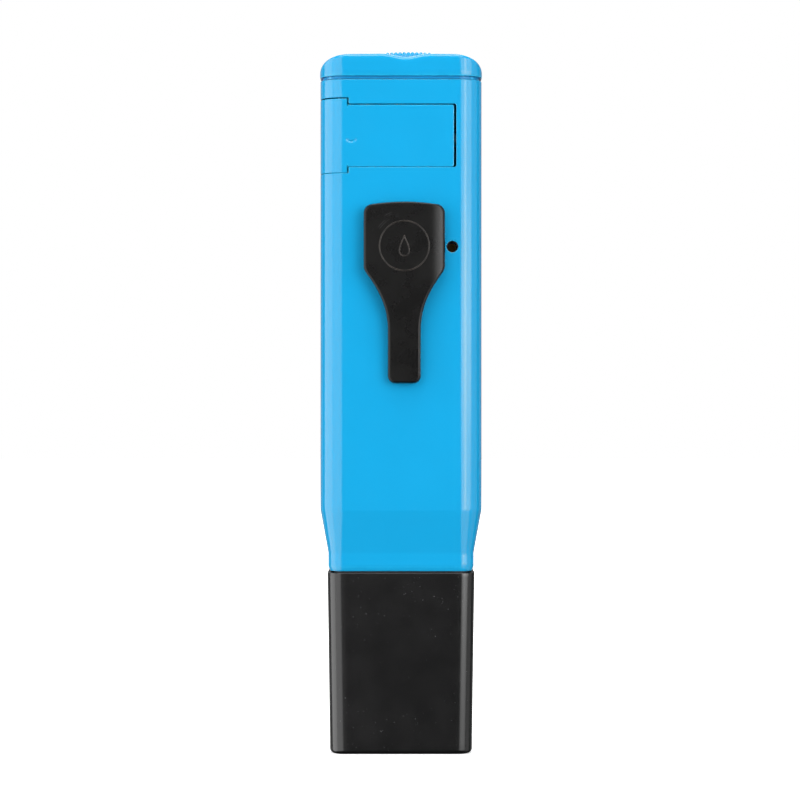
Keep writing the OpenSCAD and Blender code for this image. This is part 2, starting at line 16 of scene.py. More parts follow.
import bmesh
import bpy
import numpy as np
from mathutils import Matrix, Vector

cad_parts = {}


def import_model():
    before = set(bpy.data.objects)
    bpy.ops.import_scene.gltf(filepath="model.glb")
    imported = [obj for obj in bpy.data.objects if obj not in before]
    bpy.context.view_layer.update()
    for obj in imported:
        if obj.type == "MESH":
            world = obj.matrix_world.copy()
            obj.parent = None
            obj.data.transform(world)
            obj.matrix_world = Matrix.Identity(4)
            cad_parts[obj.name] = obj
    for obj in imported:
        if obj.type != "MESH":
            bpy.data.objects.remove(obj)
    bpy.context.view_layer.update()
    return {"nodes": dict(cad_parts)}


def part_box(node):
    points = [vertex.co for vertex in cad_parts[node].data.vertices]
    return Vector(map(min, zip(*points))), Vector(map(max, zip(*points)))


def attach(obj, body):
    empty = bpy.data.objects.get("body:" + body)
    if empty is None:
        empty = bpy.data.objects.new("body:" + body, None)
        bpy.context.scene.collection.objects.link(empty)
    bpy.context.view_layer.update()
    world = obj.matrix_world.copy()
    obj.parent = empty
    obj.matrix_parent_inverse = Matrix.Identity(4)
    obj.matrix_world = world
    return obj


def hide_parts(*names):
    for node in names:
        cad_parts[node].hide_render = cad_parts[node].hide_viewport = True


LOG = logging.getLogger("test_pen")
# One millimetre, and the distance within which points are merged, both in metres.
MM = 0.001
MERGE = 2e-6
# In millimetres: how near counts as equal, and the play round the window.
NEAR = 1e-4
LENS_GAP = 0.2
# Steps along the sides and round the corners of the frame's and the label's outlines.
PLATE_STEPS = (16, 24, 8)
# Values that most of a noise lies between.
NOISE_SPAN = (0.3, 0.7)
Colour = tuple[float, float, float]
Socket = bpy.types.NodeSocket


class Axis(Enum):
    """Axis that a shape is turned round, or that a flat outline is square to."""

    X = 0
    Y = 1
    Z = 2


# ---------------------------------------------------------------------------------------------
# Surfaces
# ---------------------------------------------------------------------------------------------


class Skin:
    """Quads of one piece, gathered patch by patch, in millimetres."""

    def __init__(self) -> None:
        """Starts with no patches."""
        self.points: list[np.ndarray] = []
        self.quads: list[np.ndarray] = []
        self.count = 0

    def grid(
        self,
        points: np.ndarray,
        keep: np.ndarray | None = None,
        around: bool = False,
        closed: bool = False,
    ) -> Skin:
        """Adds a grid; cell (i, j) joins points (i, j), (i, j+1), (i+1, j+1) and (i+1, j).

        Args:
            points: Rows by columns by three.
            keep: For each cell, whether it is there; all of them if None.
            around: Joins the last column to the first.
            closed: Joins the last row to the first.

        Returns:
            This skin, so that calls can be chained.
        """
        rows, cols = points.shape[:2]
        index = self.count + np.arange(rows * cols).reshape(rows, cols)
        if closed:
            index = np.vstack([index, index[:1]])
        if around:
            index = np.hstack([index, index[:, :1]])
        corners = (index[:-1, :-1], index[:-1, 1:], index[1:, 1:], index[1:, :-1])
        cells = np.stack(corners, axis=-1)
        self.quads.append(cells.reshape(-1, 4) if keep is None else cells[keep])
        self.points.append(points.reshape(-1, 3))
        self.count += rows * cols
        return self

    def loft(self, rings: Sequence[np.ndarray], closed: bool = False) -> Skin:
        """Joins closed rings of equal point counts, one after the other.

        Args:
            rings: Each an array of points by three.
            closed: Joins the last ring to the first; otherwise both ends are closed to a centre.

        Returns:
            This skin.
        """
        stack = np.stack(rings)
        if not closed:
            ends = [np.broadcast_to(stack[i].mean(axis=0), stack[i].shape) for i in (0, -1)]
            stack = np.concatenate([ends[0][None], stack, ends[1][None]])
        return self.grid(stack, around=True, closed=closed)


def outline(
    width: float, depth: float, radius: float, long: int = 12, short: int = 6, arc: int = 8
) -> np.ndarray:
    """Rounded rectangle: four straight sides joined by quarter circles, counter-clockwise.

    Args:
        width: First extent.
        depth: Second extent.
        radius: Corner radius.
        long: Steps along each of the two sides of the first extent.
        short: Steps along each of the two sides of the second extent.
        arc: Steps round each corner.

    Returns:
        Points by two, centred on zero; the count depends on the steps alone.
    """
    inner = np.array([width / 2 - radius, depth / 2 - radius])
    signs = np.array([[1, 1], [-1, 1], [-1, -1], [1, -1]])
    parts = []
    for k, sign in enumerate(signs):
        angle = math.pi / 2 * (k + np.linspace(0, 1, arc + 1))
        turn = sign * inner + radius * np.stack([np.cos(angle), np.sin(angle)], axis=1)
        ahead = signs[(k + 1) % 4] * inner + radius * np.array([np.cos(angle[-1]), np.sin(angle[-1])])
        steps = long if k % 2 == 0 else short
        t = np.linspace(0, 1, steps + 1)[1:-1, None]
        parts += [turn, turn[-1] * (1 - t) + ahead * t]
    return np.concatenate(parts)


def lift(plane: np.ndarray, height: float | np.ndarray, axis: Axis, at: Sequence[float]) -> np.ndarray:
    """Puts a flat outline into space.

    Args:
        plane: Points by two, in the two axes other than the given one, in X, Y, Z order.
        height: Place along the given axis.
        axis: Axis that the outline is square to.
        at: Place of the outline's zero in those two axes.

    Returns:
        Points by three.
    """
    spot = plane + np.asarray(at)
    return np.insert(spot, axis.value, height, axis=1)


def hoop(
    size: Sequence[float],
    radius: float,
    height: float | np.ndarray,
    axis: Axis = Axis.Z,
    at: Sequence[float] = (0, 0),
    steps: Sequence[int] = (12, 6, 8),
    inset: float = 0.0,
) -> np.ndarray:
    """Rounded rectangle in space, with its sides and corners pulled in by an inset.

    Args:
        size: The two extents before the inset.
        radius: Corner radius before the inset.
        height: Place along the given axis.
        axis: Axis that it is square to.
        at: Place of its middle in the two other axes.
        steps: Steps along the first and second pair of sides and round each corner.
        inset: How far it is pulled in; below zero it grows.

    Returns:
        Points by three.
    """
    flat = outline(size[0] - 2 * inset, size[1] - 2 * inset, radius - inset, *steps)
    return lift(flat, height, axis, at)


def rounded_ends(low: float, high: float, edge: float, steps: int = 4) -> list[tuple[float, float]]:
    """Heights and insets of a wall whose two ends are rounded: quarter circles of radius edge.

    Args:
        low: Lower end.
        high: Upper end.
        edge: Radius.
        steps: Steps in each quarter circle.

    Returns:
        Pairs of height and inset, from the lower end to the upper one.
    """
    angle = np.linspace(0, math.pi / 2, steps + 1)
    inset = edge * (1 - np.sin(angle))
    rise = edge * (1 - np.cos(angle))
    lower = list(zip(low + rise, inset))
    upper = list(zip(high - rise[::-1], inset[::-1]))
    return lower + upper


def slab(
    skin: Skin, low: Sequence[float], high: Sequence[float], radius: float, edge: float, axis: Axis
) -> Skin:
    """Rounded block between two corners: a rounded rectangle carried along an axis.

    Args:
        skin: Skin that gets it.
        low: Lowest corner.
        high: Highest corner.
        radius: Radius of the edges along the axis.
        edge: Rounding of the two ends.
        axis: Axis that the outline is carried along.

    Returns:
        The skin.
    """
    low, high = np.asarray(low, float), np.asarray(high, float)
    size, middle = np.delete(high - low, axis.value), np.delete((low + high) / 2, axis.value)
    rings = [
        lift(outline(*(size - 2 * inset), max(radius - inset, 0.02), 4, 4, 4), h, axis, middle)
        for h, inset in rounded_ends(low[axis.value], high[axis.value], edge, 3)
    ]
    return skin.loft(rings)


def turned(
    skin: Skin, profile: np.ndarray, axis: Axis, at: Sequence[float], steps: int = 64, closed: bool = False
) -> Skin:
    """Turned shape: a profile of radius and height, carried round an axis.

    Args:
        skin: Skin that gets it.
        profile: Points by two, radius then height along the axis.
        axis: Axis of the turning.
        at: Place of the axis in the two other axes.
        steps: Steps round.
        closed: Joins the profile's end to its start, as for a ring.

    Returns:
        The skin.
    """
    angle = np.linspace(0, 2 * math.pi, steps, endpoint=False)
    circle = np.stack([np.cos(angle), np.sin(angle)], axis=1)
    rings = [lift(circle * r, h, axis, at) for r, h in profile]
    return skin.loft(rings, closed)


def lines(low: float, high: float, step: float, cuts: Sequence[float] = ()) -> np.ndarray:
    """Rising values about a step apart, with every cut among them and none close beside a cut.

    Args:
        low: First value.
        high: Last value.
        step: Spacing away from the cuts.
        cuts: Values that have to be there.

    Returns:
        The values.
    """
    fixed = np.unique(np.round(np.concatenate([[low, high], np.asarray(cuts, float)]), 5))
    base = np.linspace(low, high, max(2, round((high - low) / step) + 1))
    clear = np.abs(base[:, None] - fixed[None]).min(axis=1) > 0.35 * step
    return np.sort(np.concatenate([fixed, base[clear]]))


def ring_patch(
    u: np.ndarray, v: np.ndarray, middle: Sequence[float], half: Sequence[float], radius: float
) -> np.ndarray:
    """Patch between a rectangle of grid cells and a rounded opening inside it.

    Each point on the rectangle is joined with the opening's nearest point: the point is held
    within the opening's half sizes less the radius, then moved back out by the radius.

    Args:
        u: Grid values along the rectangle's first side.
        v: Grid values along its second side.
        middle: Middle of the opening.
        half: Half sizes of the opening.
        radius: Corner radius of the opening.

    Returns:
        Steps by points by two, from the rectangle to the opening.
    """
    edge = np.concatenate(
        [
            np.stack([u, np.full_like(u, v[0])], axis=1)[:-1],
            np.stack([np.full_like(v, u[-1]), v], axis=1)[:-1],
            np.stack([u, np.full_like(u, v[-1])], axis=1)[:0:-1],
            np.stack([np.full_like(v, u[0]), v], axis=1)[:0:-1],
        ]
    )
    middle, reach = np.asarray(middle), np.asarray(half) - radius
    core = middle + np.clip(edge - middle, -reach, reach)
    way = edge - core
    opening = core + radius * way / np.linalg.norm(way, axis=1, keepdims=True)
    t = np.linspace(0, 1, 3)[:, None, None]
    return edge * (1 - t) + opening * t


def cell_middles(points: np.ndarray) -> np.ndarray:
    """X, Y and Z of the middle of each cell of a grid, as three arrays in one."""
    return np.moveaxis((points[:-1, :-1] + points[1:, 1:]) / 2, 2, 0)


def round_corner(points: np.ndarray, centre: Sequence[float], radius: float, side: int) -> None:
    """Rounds the right-hand corner of an opening by moving the grid's points onto its arc.

    The points on the two sides of the corner, from each end of the arc to the corner itself,
    share the quarter circle: the angle grows evenly with the way along each side, up to 45
    degrees where they meet.

    Args:
        points: Grid of points, changed in place.
        centre: X and Z of the arc's centre.
        radius: Radius of the arc.
        side: 1 for an upper corner, -1 for a lower one.
    """
    near = 10 * NEAR
    across, along = (points[..., 0] - centre[0]) / radius, side * (points[..., 2] - centre[1]) / radius
    level = (np.abs(along - 1) < near) & (across > -near) & (across < 1 + near)
    upright = (np.abs(across - 1) < near) & (along > -near) & (along < 1)
    angle = np.where(level, math.pi / 2 - across * math.pi / 4, along * math.pi / 4)
    moved = level | upright
    points[moved, 0] = centre[0] + radius * np.cos(angle[moved])
    points[moved, 2] = centre[1] + side * radius * np.sin(angle[moved])


def merged_mesh(name: str, skin: Skin, open_shell: bool) -> bpy.types.Mesh:
    """Mesh of a skin in metres, with its seams and poles merged and its faces outwards.

    Args:
        name: Name of the mesh.
        skin: The quads.
        open_shell: Whether it is a shell that has no wall yet.

    Returns:
        The mesh.
    """
    mesh = bpy.data.meshes.new(name)
    points = np.concatenate(skin.points) * MM
    mesh.from_pydata(points, [], np.concatenate(skin.quads).tolist())
    work = bmesh.new()
    work.from_mesh(mesh)
    bmesh.ops.remove_doubles(work, verts=work.verts, dist=MERGE)
    bmesh.ops.dissolve_degenerate(work, edges=work.edges, dist=MERGE / 4)
    bmesh.ops.recalc_face_normals(work, faces=work.faces)
    if open_shell:
        middle = Vector(points.mean(axis=0))
        facing = sum(
            f.normal.dot(f.calc_center_median() - middle) * f.calc_area() for f in work.faces
        )
        if facing < 0:
            bmesh.ops.reverse_faces(work, faces=work.faces)
    work.to_mesh(mesh)
    work.free()
    return mesh


def mark_edges(mesh: bpy.types.Mesh) -> None:
    """Writes an "edge" value to each vertex: one less the length of its faces' mean normal.

    It is zero on a flat and rises where the surface bends, so that a finish can lighten there: rubbing, and
    on the clip partly a painted rim highlight.

    Args:
        mesh: Mesh that gets the attribute.
    """
    count = len(mesh.polygons)
    normal = np.zeros(count * 3)
    mesh.polygons.foreach_get("normal", normal)
    total = np.zeros(count, np.int32)
    mesh.polygons.foreach_get("loop_total", total)
    corner = np.zeros(len(mesh.loops), np.int32)
    mesh.loops.foreach_get("vertex_index", corner)
    spread = np.repeat(normal.reshape(-1, 3), total, axis=0)
    size = len(mesh.vertices)
    mean = np.stack([np.bincount(corner, spread[:, k], size) for k in range(3)], axis=1)
    share = np.maximum(np.bincount(corner, minlength=size), 1)
    bend = 1 - np.linalg.norm(mean, axis=1) / share
    held = mesh.attributes.new("edge", "FLOAT", "POINT")
    held.data.foreach_set("value", np.clip(bend * 12, 0, 1).astype(np.float32))


def make_piece(
    name: str,
    skin: Skin,
    finish: Finish,
    body: str,
    nodes: Sequence[str] = (),
    wall: float = 0.0,
    bevel: float = 0.0,
    crease: float = 35.0,
) -> bpy.types.Object:
    """Makes a finished piece of a skin and says what it rides on and stands for.

    Args:
        name: Name of the piece.
        skin: Its surface.
        finish: Its finish.
        body: CAD body that it rides on.
        nodes: CAD nodes that it replaces.
        wall: Thickness given to an open shell, inwards.
        bevel: Rounding of edges sharper than 40 degrees.
        crease: Angle in degrees above which an edge stays sharp, where there is no bevel.

    Returns:
        The object.
    """
    mesh = merged_mesh(name, skin, wall > 0)
    piece = bpy.data.objects.new(name, mesh)
    bpy.context.scene.collection.objects.link(piece)
    if wall > 0:
        solid = piece.modifiers.new("wall", "SOLIDIFY")
        solid.thickness, solid.offset, solid.use_even_offset = wall * MM, -1, True
    if bevel > 0:
        soft = piece.modifiers.new("soft_edges", "BEVEL")
        soft.width, soft.segments, soft.harden_normals = bevel * MM, 3, True
        soft.limit_method, soft.angle_limit = "ANGLE", math.radians(40)
        soft.use_clamp_overlap = False
    mesh.polygons.foreach_set("use_smooth", [True] * len(mesh.polygons))
    if wall > 0 or bevel > 0:
        graph = bpy.context.evaluated_depsgraph_get()
        baked = bpy.data.meshes.new_from_object(piece.evaluated_get(graph), depsgraph=graph)
        piece.modifiers.clear()
        piece.data = baked
        baked.name = name
    if bevel == 0:
        piece.data.set_sharp_from_angle(angle=math.radians(crease))
    mark_edges(piece.data)
    piece.data.materials.clear()
    piece.data.materials.append(finish.material())
    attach(piece, body)
    if nodes:
        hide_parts(*nodes)
    LOG.info("%s: %d faces, rides on %s", name, len(piece.data.polygons), body)
    return piece


def box_mm(node: str) -> tuple[np.ndarray, np.ndarray]:
    """Lowest and highest corner of a CAD node, in millimetres.

    Args:
        node: Name of the node.

    Returns:
        The two corners.
    """
    low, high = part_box(node)
    return np.array(low) / MM, np.array(high) / MM


def face_of(node: str) -> tuple[np.ndarray, np.ndarray]:
    """Size and middle of a CAD node across and upwards (X and Z), in millimetres.

    Args:
        node: Name of the node.

    Returns:
        The size and the middle.
    """
    low, high = box_mm(node)
    return (high - low)[[0, 2]], ((low + high) / 2)[[0, 2]]


# ---------------------------------------------------------------------------------------------
# Finishes
# ---------------------------------------------------------------------------------------------


class Nodes:
    """Node tree of one material, with the few helpers that the finishes share."""

    def __init__(self, name: str) -> None:
        """Makes the material with a Principled shader.

        Args:
            name: Name of the material.
        """
        self.material = bpy.data.materials.new(name)
        self.material.use_nodes = True
        self.tree = self.material.node_tree
        self.shader = self.tree.nodes["Principled BSDF"]
        place = self.tree.nodes.new("ShaderNodeTexCoord")
        self.scaled = self.node("ShaderNodeMapping", Vector=place.outputs["Object"])
        self.scaled.inputs["Scale"].default_value = (1 / MM, 1 / MM, 1 / MM)

    def fill(self, socket: Socket, value: object) -> None:
        """Links an input to a socket, or sets it to a value.

        Args:
            socket: The input.
            value: Value or socket.
        """
        if isinstance(value, Socket):
            self.tree.links.new(value, socket)
        else:
            socket.default_value = value

    def node(self, kind: str, **inputs: object) -> bpy.types.Node:
        """Adds a node and fills or links its inputs by name.

        Args:
            kind: Blender's name for the node.
            **inputs: Value or socket for each input, with spaces written as underscores.

        Returns:
            The node.
        """
        made = self.tree.nodes.new(kind)
        for key, value in inputs.items():
            self.fill(made.inputs[key.replace("_", " ")], value)
        return made

    def set(self, **inputs: object) -> None:
        """Sets or links inputs of the Principled shader.

        Args:
            **inputs: Value or socket for each input, with spaces written as underscores.
        """
        for key, value in inputs.items():
            self.fill(self.shader.inputs[key.replace("_", " ")], value)

    def noise(self, size: float, detail: float = 3.0, stretch: Sequence[float] = (1, 1, 1)) -> Socket:
        """Noise in Object coordinates.

        Args:
            size: Size of its features in millimetres.
            detail: Octaves.
            stretch: How many times longer the features are along each axis.

        Returns:
            The factor socket.
        """
        turned_place = self.node("ShaderNodeMapping", Vector=self.scaled.outputs["Vector"])
        turned_place.inputs["Scale"].default_value = tuple(1 / s for s in stretch)
        made = self.node("ShaderNodeTexNoise", Vector=turned_place.outputs["Vector"])
        made.inputs["Scale"].default_value = 1 / size
        made.inputs["Detail"].default_value = detail
        return made.outputs["Fac"]

    def remap(self, socket: Socket, low: float, high: float, to_low: float, to_high: float) -> Socket:
        """Carries a value from one range to another, held at the ends.

        Args:
            socket: Value.
            low: Start of its range.
            high: End of its range.
            to_low: Result at the start.
            to_high: Result at the end.

        Returns:
            The result's socket.
        """
        made = self.node("ShaderNodeMapRange", Value=socket, From_Min=low, From_Max=high)
        made.inputs["To Min"].default_value, made.inputs["To Max"].default_value = to_low, to_high
        return made.outputs["Result"]

    def mix(self, factor: Socket, a: object, b: object) -> Socket:
        """Mixes two colours.

        Args:
            factor: Share of the second.
            a: First colour or socket.
            b: Second colour or socket.

        Returns:
            The colour socket.
        """
        made = self.tree.nodes.new("ShaderNodeMix")
        made.data_type = "RGBA"
        self.tree.links.new(factor, made.inputs[0])
        for socket, value in ((made.inputs[6], a), (made.inputs[7], b)):
            self.fill(socket, value if isinstance(value, Socket) else (*value[:3], 1))
        return made.outputs[2]

    def math(self, operation: str, a: object, b: object = 0.5) -> Socket:
        """Works out one sum of two values.

        Args:
            operation: Blender's name for the operation.
            a: First value or socket.
            b: Second value or socket.

        Returns:
            The value socket.
        """
        made = self.tree.nodes.new("ShaderNodeMath")
        made.operation = operation
        for socket, value in zip(made.inputs, (a, b)):
            self.fill(socket, value)
        return made.outputs[0]

    def bump(self, height: Socket, depth: float, under: Socket | None = None) -> Socket:
        """Bumps the surface.

        Args:
            height: Height from zero to one.
            depth: What one stands for, in millimetres.
            under: Normal that this one is laid on.

        Returns:
            The normal socket.
        """
        made = self.node("ShaderNodeBump", Height=height, Distance=depth * MM)
        if under is not None:
            self.tree.links.new(under, made.inputs["Normal"])
        return made.outputs["Normal"]


@dataclass(frozen=True)
class Finish:
    """Finish of a surface: base values, plus small irregularities; the lighter edges on the clip and the
    bright spots on the trimmer screw are partly painted highlights.
    """

    name: str
    colour: Colour
    roughness: float = 0.3
    spread: float = 0.06
    mottle: float = 0.04
    grain: float = 0.002
    grain_size: float = 0.5
    edge_wear_and_highlight: float = 0.0
    worn_and_highlight_colour: Colour = (0.6, 0.6, 0.6)
    specks_and_glints: float = 0.0
    metallic: float = 0.0
    specular: float = 0.5
    stretch: tuple[float, float, float] = (1, 1, 1)
    sheen: Colour = (1, 1, 1)

    def material(self) -> bpy.types.Material:
        """The material, built once and shared."""
        return bpy.data.materials.get(self.name) or self.build().material

    def build(self) -> Nodes:
        """Builds the node tree: mottled colour, lighter rubbed edges (on the clip partly a painted rim
        highlight), spots (on the trimmer screw painted glints), uneven gloss and fine grain.

        Returns:
            The nodes, for a finish that adds to them.
        """
        n = Nodes(self.name)
        patches = n.remap(n.noise(14, 2), *NOISE_SPAN, 0, 1)
        dark = tuple(c * (1 - self.mottle) for c in self.colour)
        light = tuple(min(1, c * (1 + self.mottle)) for c in self.colour)
        colour = n.mix(patches, dark, light)
        # Lighter edges by the edge value: rubbing, and on the clip partly a painted rim highlight.
        if self.edge_wear_and_highlight > 0:
            edge = n.node("ShaderNodeAttribute")
            edge.attribute_name = "edge"
            rubbed = n.remap(n.noise(1.6, 4), 0.4, 0.7, 0.35, 1)
            share = n.math("MULTIPLY", n.remap(edge.outputs["Fac"], 0.12, 0.5, 0, 1), rubbed)
            colour = n.mix(n.math("MULTIPLY", share, self.edge_wear_and_highlight), colour, self.worn_and_highlight_colour)
        # Spots of the second colour: dust, and on the trimmer screw painted glints.
        if self.specks_and_glints > 0:
            spots = n.remap(n.noise(0.55, 1), 0.755, 0.8, 0, self.specks_and_glints)
            colour = n.mix(spots, colour, self.worn_and_highlight_colour)
        n.set(Base_Color=colour, Metallic=self.metallic, Specular_IOR_Level=self.specular)
        n.set(Specular_Tint=(*self.sheen, 1))
        uneven, gloss, spread = n.noise(6, 4, self.stretch), self.roughness, self.spread
        n.set(Roughness=n.remap(uneven, *NOISE_SPAN, gloss - spread, gloss + spread))
        n.set(Normal=n.bump(n.noise(self.grain_size, 4, self.stretch), self.grain))
        return n


@dataclass(frozen=True)
class Clear(Finish):
    """See-through finish: glass or clear plastic with faint smears."""

    ior: float = 1.46

    def build(self) -> Nodes:
        """Builds the node tree.

        Returns:
            The nodes.
        """
        n = super().build()
        n.set(Transmission_Weight=1.0, IOR=self.ior)
        return n


@dataclass(frozen=True)
class Scuffed(Finish):
    """Textured plastic with a few fine scratches along arcs about one point of its face."""

    scratch: float = 0.004
    centre: tuple[float, float, float] = (0.81, 0.0, 125.9)
    spacing: float = 0.45
    reach: tuple[float, float] = (6.9, 8.7)
    towards: tuple[float, float, float] = (-0.62, 0.0, 0.78)

    def build(self) -> Nodes:
        """Builds the node tree: the plain finish, with thin broken arcs in its bump and colour.

        The arcs lie at even steps of the distance from the point, between two distances and to
        one side of it, and noise breaks them up.

        Returns:
            The nodes.
        """
        n = super().build()
        away = n.node("ShaderNodeMapping", Vector=n.scaled.outputs["Vector"])
        away.vector_type = "TEXTURE"
        away.inputs["Location"].default_value = self.centre
        far = n.tree.nodes.new("ShaderNodeVectorMath")
        side = n.tree.nodes.new("ShaderNodeVectorMath")
        flat = n.tree.nodes.new("ShaderNodeVectorMath")
        flat.operation, far.operation, side.operation = "MULTIPLY", "LENGTH", "DOT_PRODUCT"
        n.tree.links.new(away.outputs["Vector"], flat.inputs[0])
        flat.inputs[1].default_value = (1, 0, 1)
        n.tree.links.new(flat.outputs["Vector"], far.inputs[0])
        n.tree.links.new(flat.outputs["Vector"], side.inputs[0])
        side.inputs[1].default_value = self.towards
        radius = far.outputs["Value"]
        thin = n.remap(n.math("PINGPONG", radius, self.spacing / 2), 0.0, 0.07, 1, 0)
        inner, outer = self.reach
        past, before = n.remap(radius, inner, inner + 0.1, 0, 1), n.remap(radius, outer, outer + 0.1, 1, 0)
        held = n.math("MULTIPLY", past, before)
        turned_to = n.remap(n.math("DIVIDE", side.outputs["Value"], radius), 0.86, 0.93, 0, 1)
        broken = n.remap(n.noise(2.2, 2), 0.5, 0.6, 0, 1)
        line = n.math("MULTIPLY", n.math("MULTIPLY", thin, held), n.math("MULTIPLY", turned_to, broken))
        base = n.shader.inputs["Base Color"].links[0].from_socket
        n.set(Base_Color=n.mix(n.math("MULTIPLY", line, 0.7), base, (0.06, 0.06, 0.06)))
        under = n.shader.inputs["Normal"].links[0].from_socket
        n.set(Normal=n.bump(line, self.scratch, under))
        return n


@dataclass(frozen=True)
class Sponge(Finish):
    """Open-cell foam: pores of two sizes in its bump, with their hollows darkened in its colour as painted
    shade.
    """

    def build(self) -> Nodes:
        """Builds the node tree.

        Returns:
            The nodes.
        """
        n = super().build()
        cells = n.node("ShaderNodeTexVoronoi", Vector=n.scaled.outputs["Vector"], Scale=1.6)
        pores = n.remap(cells.outputs["Distance"], 0.1, 0.55, 0, 1)
        base = n.shader.inputs["Base Color"].links[0].from_socket
        # Darker colour in the pores' hollows: painted shade.
        dark = tuple(c * 0.45 for c in self.colour)
        n.set(Base_Color=n.mix(pores, dark, base), Normal=n.bump(pores, 0.4))
        n.set(Subsurface_Weight=0.15)
        return n


@dataclass(frozen=True)
class ColourScale(Finish):
    """Printed scale of plain colour patches, read from the piece's own "step" attribute."""

    def build(self) -> Nodes:
        """Builds the node tree: a ramp from red over green to violet, over the fine grain.

        Returns:
            The nodes.
        """
        n = super().build()
        step = n.node("ShaderNodeAttribute")
        step.attribute_name = "step"
        hue = n.node("ShaderNodeCombineColor")
        hue.mode = "HSV"
        n.tree.links.new(n.math("MULTIPLY", step.outputs["Fac"], 0.78), hue.inputs[0])
        hue.inputs[1].default_value = 0.75
        n.tree.links.new(n.remap(n.noise(3, 2), *NOISE_SPAN, 0.5, 0.56), hue.inputs[2])
        n.set(Base_Color=hue.outputs[0])
        return n


BLUE = Finish(
    "blue_gloss", (0.0062, 0.299, 0.578), roughness=0.13, spread=0.02, mottle=0.015, grain=0.0012,
    grain_size=1.4, edge_wear_and_highlight=0.5, worn_and_highlight_colour=(0.05, 0.62, 0.88), specular=0.5, sheen=(1, 0.72, 0.2),
)
# Darker, duller blue for the groove under the top cap: painted shade where the cap's overhang keeps the
# light out.
BLUE_PAINTED_SHADE = Finish(
    "blue_painted_shade", (0.004, 0.235, 0.5), roughness=0.3, spread=0.04, mottle=0.06, grain=0.0012,
    grain_size=1.4, specular=0.25,
)
BLACK_CAP = Finish(
    "black_cap", (0.0043, 0.0043, 0.0045), roughness=0.215, spread=0.02, mottle=0.06, grain=0.0016,
    grain_size=1.1, edge_wear_and_highlight=0.1, worn_and_highlight_colour=(0.16, 0.16, 0.16), specks_and_glints=0.35, specular=0.62,
)
# Black clip: its lighter brownish edge colour is rubbing and partly a painted rim highlight.
BLACK_CLIP = Scuffed(
    "black_clip", (0.0028, 0.0027, 0.0026), roughness=0.28, spread=0.03, specular=0.27, mottle=0.1,
    grain=0.012, grain_size=0.5, edge_wear_and_highlight=0.8, worn_and_highlight_colour=(0.13, 0.11, 0.095), specks_and_glints=0.06,
)
INNER_BLACK = Finish("inner_black", (0.018, 0.018, 0.02), roughness=0.45, grain=0.004, grain_size=0.6)
CLEAR_WINDOW = Clear(
    "clear_window", (0.96, 0.98, 0.98), roughness=0.04, spread=0.02, grain=0.0006, grain_size=4,
)
DISPLAY_GREY = Finish(
    "display_grey", (0.21, 0.25, 0.19), roughness=0.28, mottle=0.03, grain=0.0008, grain_size=2,
)
SEGMENT_GREY = Finish("segment_grey", (0.15, 0.18, 0.14), roughness=0.3, mottle=0.03)
SOFT_RUBBER = Finish("soft_rubber", (0.02, 0.02, 0.02), roughness=0.6, grain=0.006, grain_size=0.3)
LABEL_FILM = Finish(
    "label_film", (0.62, 0.65, 0.67), roughness=0.36, spread=0.04, mottle=0.02, grain=0.002,
    grain_size=0.4,
)
LABEL_DARK = Finish(
    "label_dark", (0.012, 0.05, 0.13), roughness=0.36, spread=0.04, grain=0.002, grain_size=0.4,
)
COLOUR_SCALE = ColourScale("colour_scale", (0.5, 0.5, 0.5), roughness=0.38, grain=0.002, grain_size=0.4)
BOARD_GREEN = Finish(
    "board_green", (0.01, 0.12, 0.045), roughness=0.35, mottle=0.25, grain=0.01, grain_size=0.8,
)
CHIP_BLACK = Finish(
    "chip_black", (0.02, 0.02, 0.021), roughness=0.55, mottle=0.1, grain=0.005, grain_size=0.2,
)
CERAMIC = Finish(
    "capacitor_ceramic", (0.42, 0.27, 0.14), roughness=0.5, mottle=0.15, grain=0.004,
    grain_size=0.25,
)
TRIMMER_BLUE = Finish(
    "trimmer_blue", (0.02, 0.08, 0.42), roughness=0.35, mottle=0.08, grain=0.004, grain_size=0.5,
)
# Trimmer screw's metal: darkened as painted shade for the deep hole, with bright spots as painted glints.
BRASS_SHADE_AND_GLINTS = Finish(
    "brass", (0.26, 0.17, 0.07), roughness=0.12, spread=0.04, mottle=0.3, metallic=1, grain=0.003,
    grain_size=0.6, worn_and_highlight_colour=(0.85, 0.68, 0.4), specks_and_glints=0.8,
)
NICKEL = Finish(
    "nickel", (0.66, 0.64, 0.6), roughness=0.26, spread=0.1, mottle=0.06, metallic=1, grain=0.003,
    grain_size=0.2, stretch=(6, 1, 1),
)
STEEL = Finish(
    "bright_steel", (0.56, 0.57, 0.58), roughness=0.24, spread=0.08, metallic=1, grain=0.002,
    grain_size=0.2,
)
SILVER = Finish(
    "silver", (0.83, 0.82, 0.8), roughness=0.3, spread=0.1, metallic=1, mottle=0.1, grain=0.003,
    grain_size=0.2,
)
GLASS = Clear(
    "clear_glass", (0.97, 0.99, 0.99), roughness=0.03, spread=0.015, grain=0.0004, grain_size=3,
    ior=1.5,
)
CLOTH = Finish("junction_cloth", (0.8, 0.78, 0.72), roughness=0.8, mottle=0.15, grain=0.03, grain_size=0.15)
LEAD = Finish("lead_insulation", (0.45, 0.03, 0.03), roughness=0.4, mottle=0.1, grain=0.003, grain_size=0.4)
FOAM = Sponge("sponge", (0.62, 0.52, 0.27), roughness=0.9, mottle=0.12, grain=0.05, grain_size=0.3)
FLOOR = Finish(
    "pale_floor", (0.9, 0.9, 0.9), roughness=0.6, spread=0.04, mottle=0.006, grain=0.01,
    grain_size=3,
)

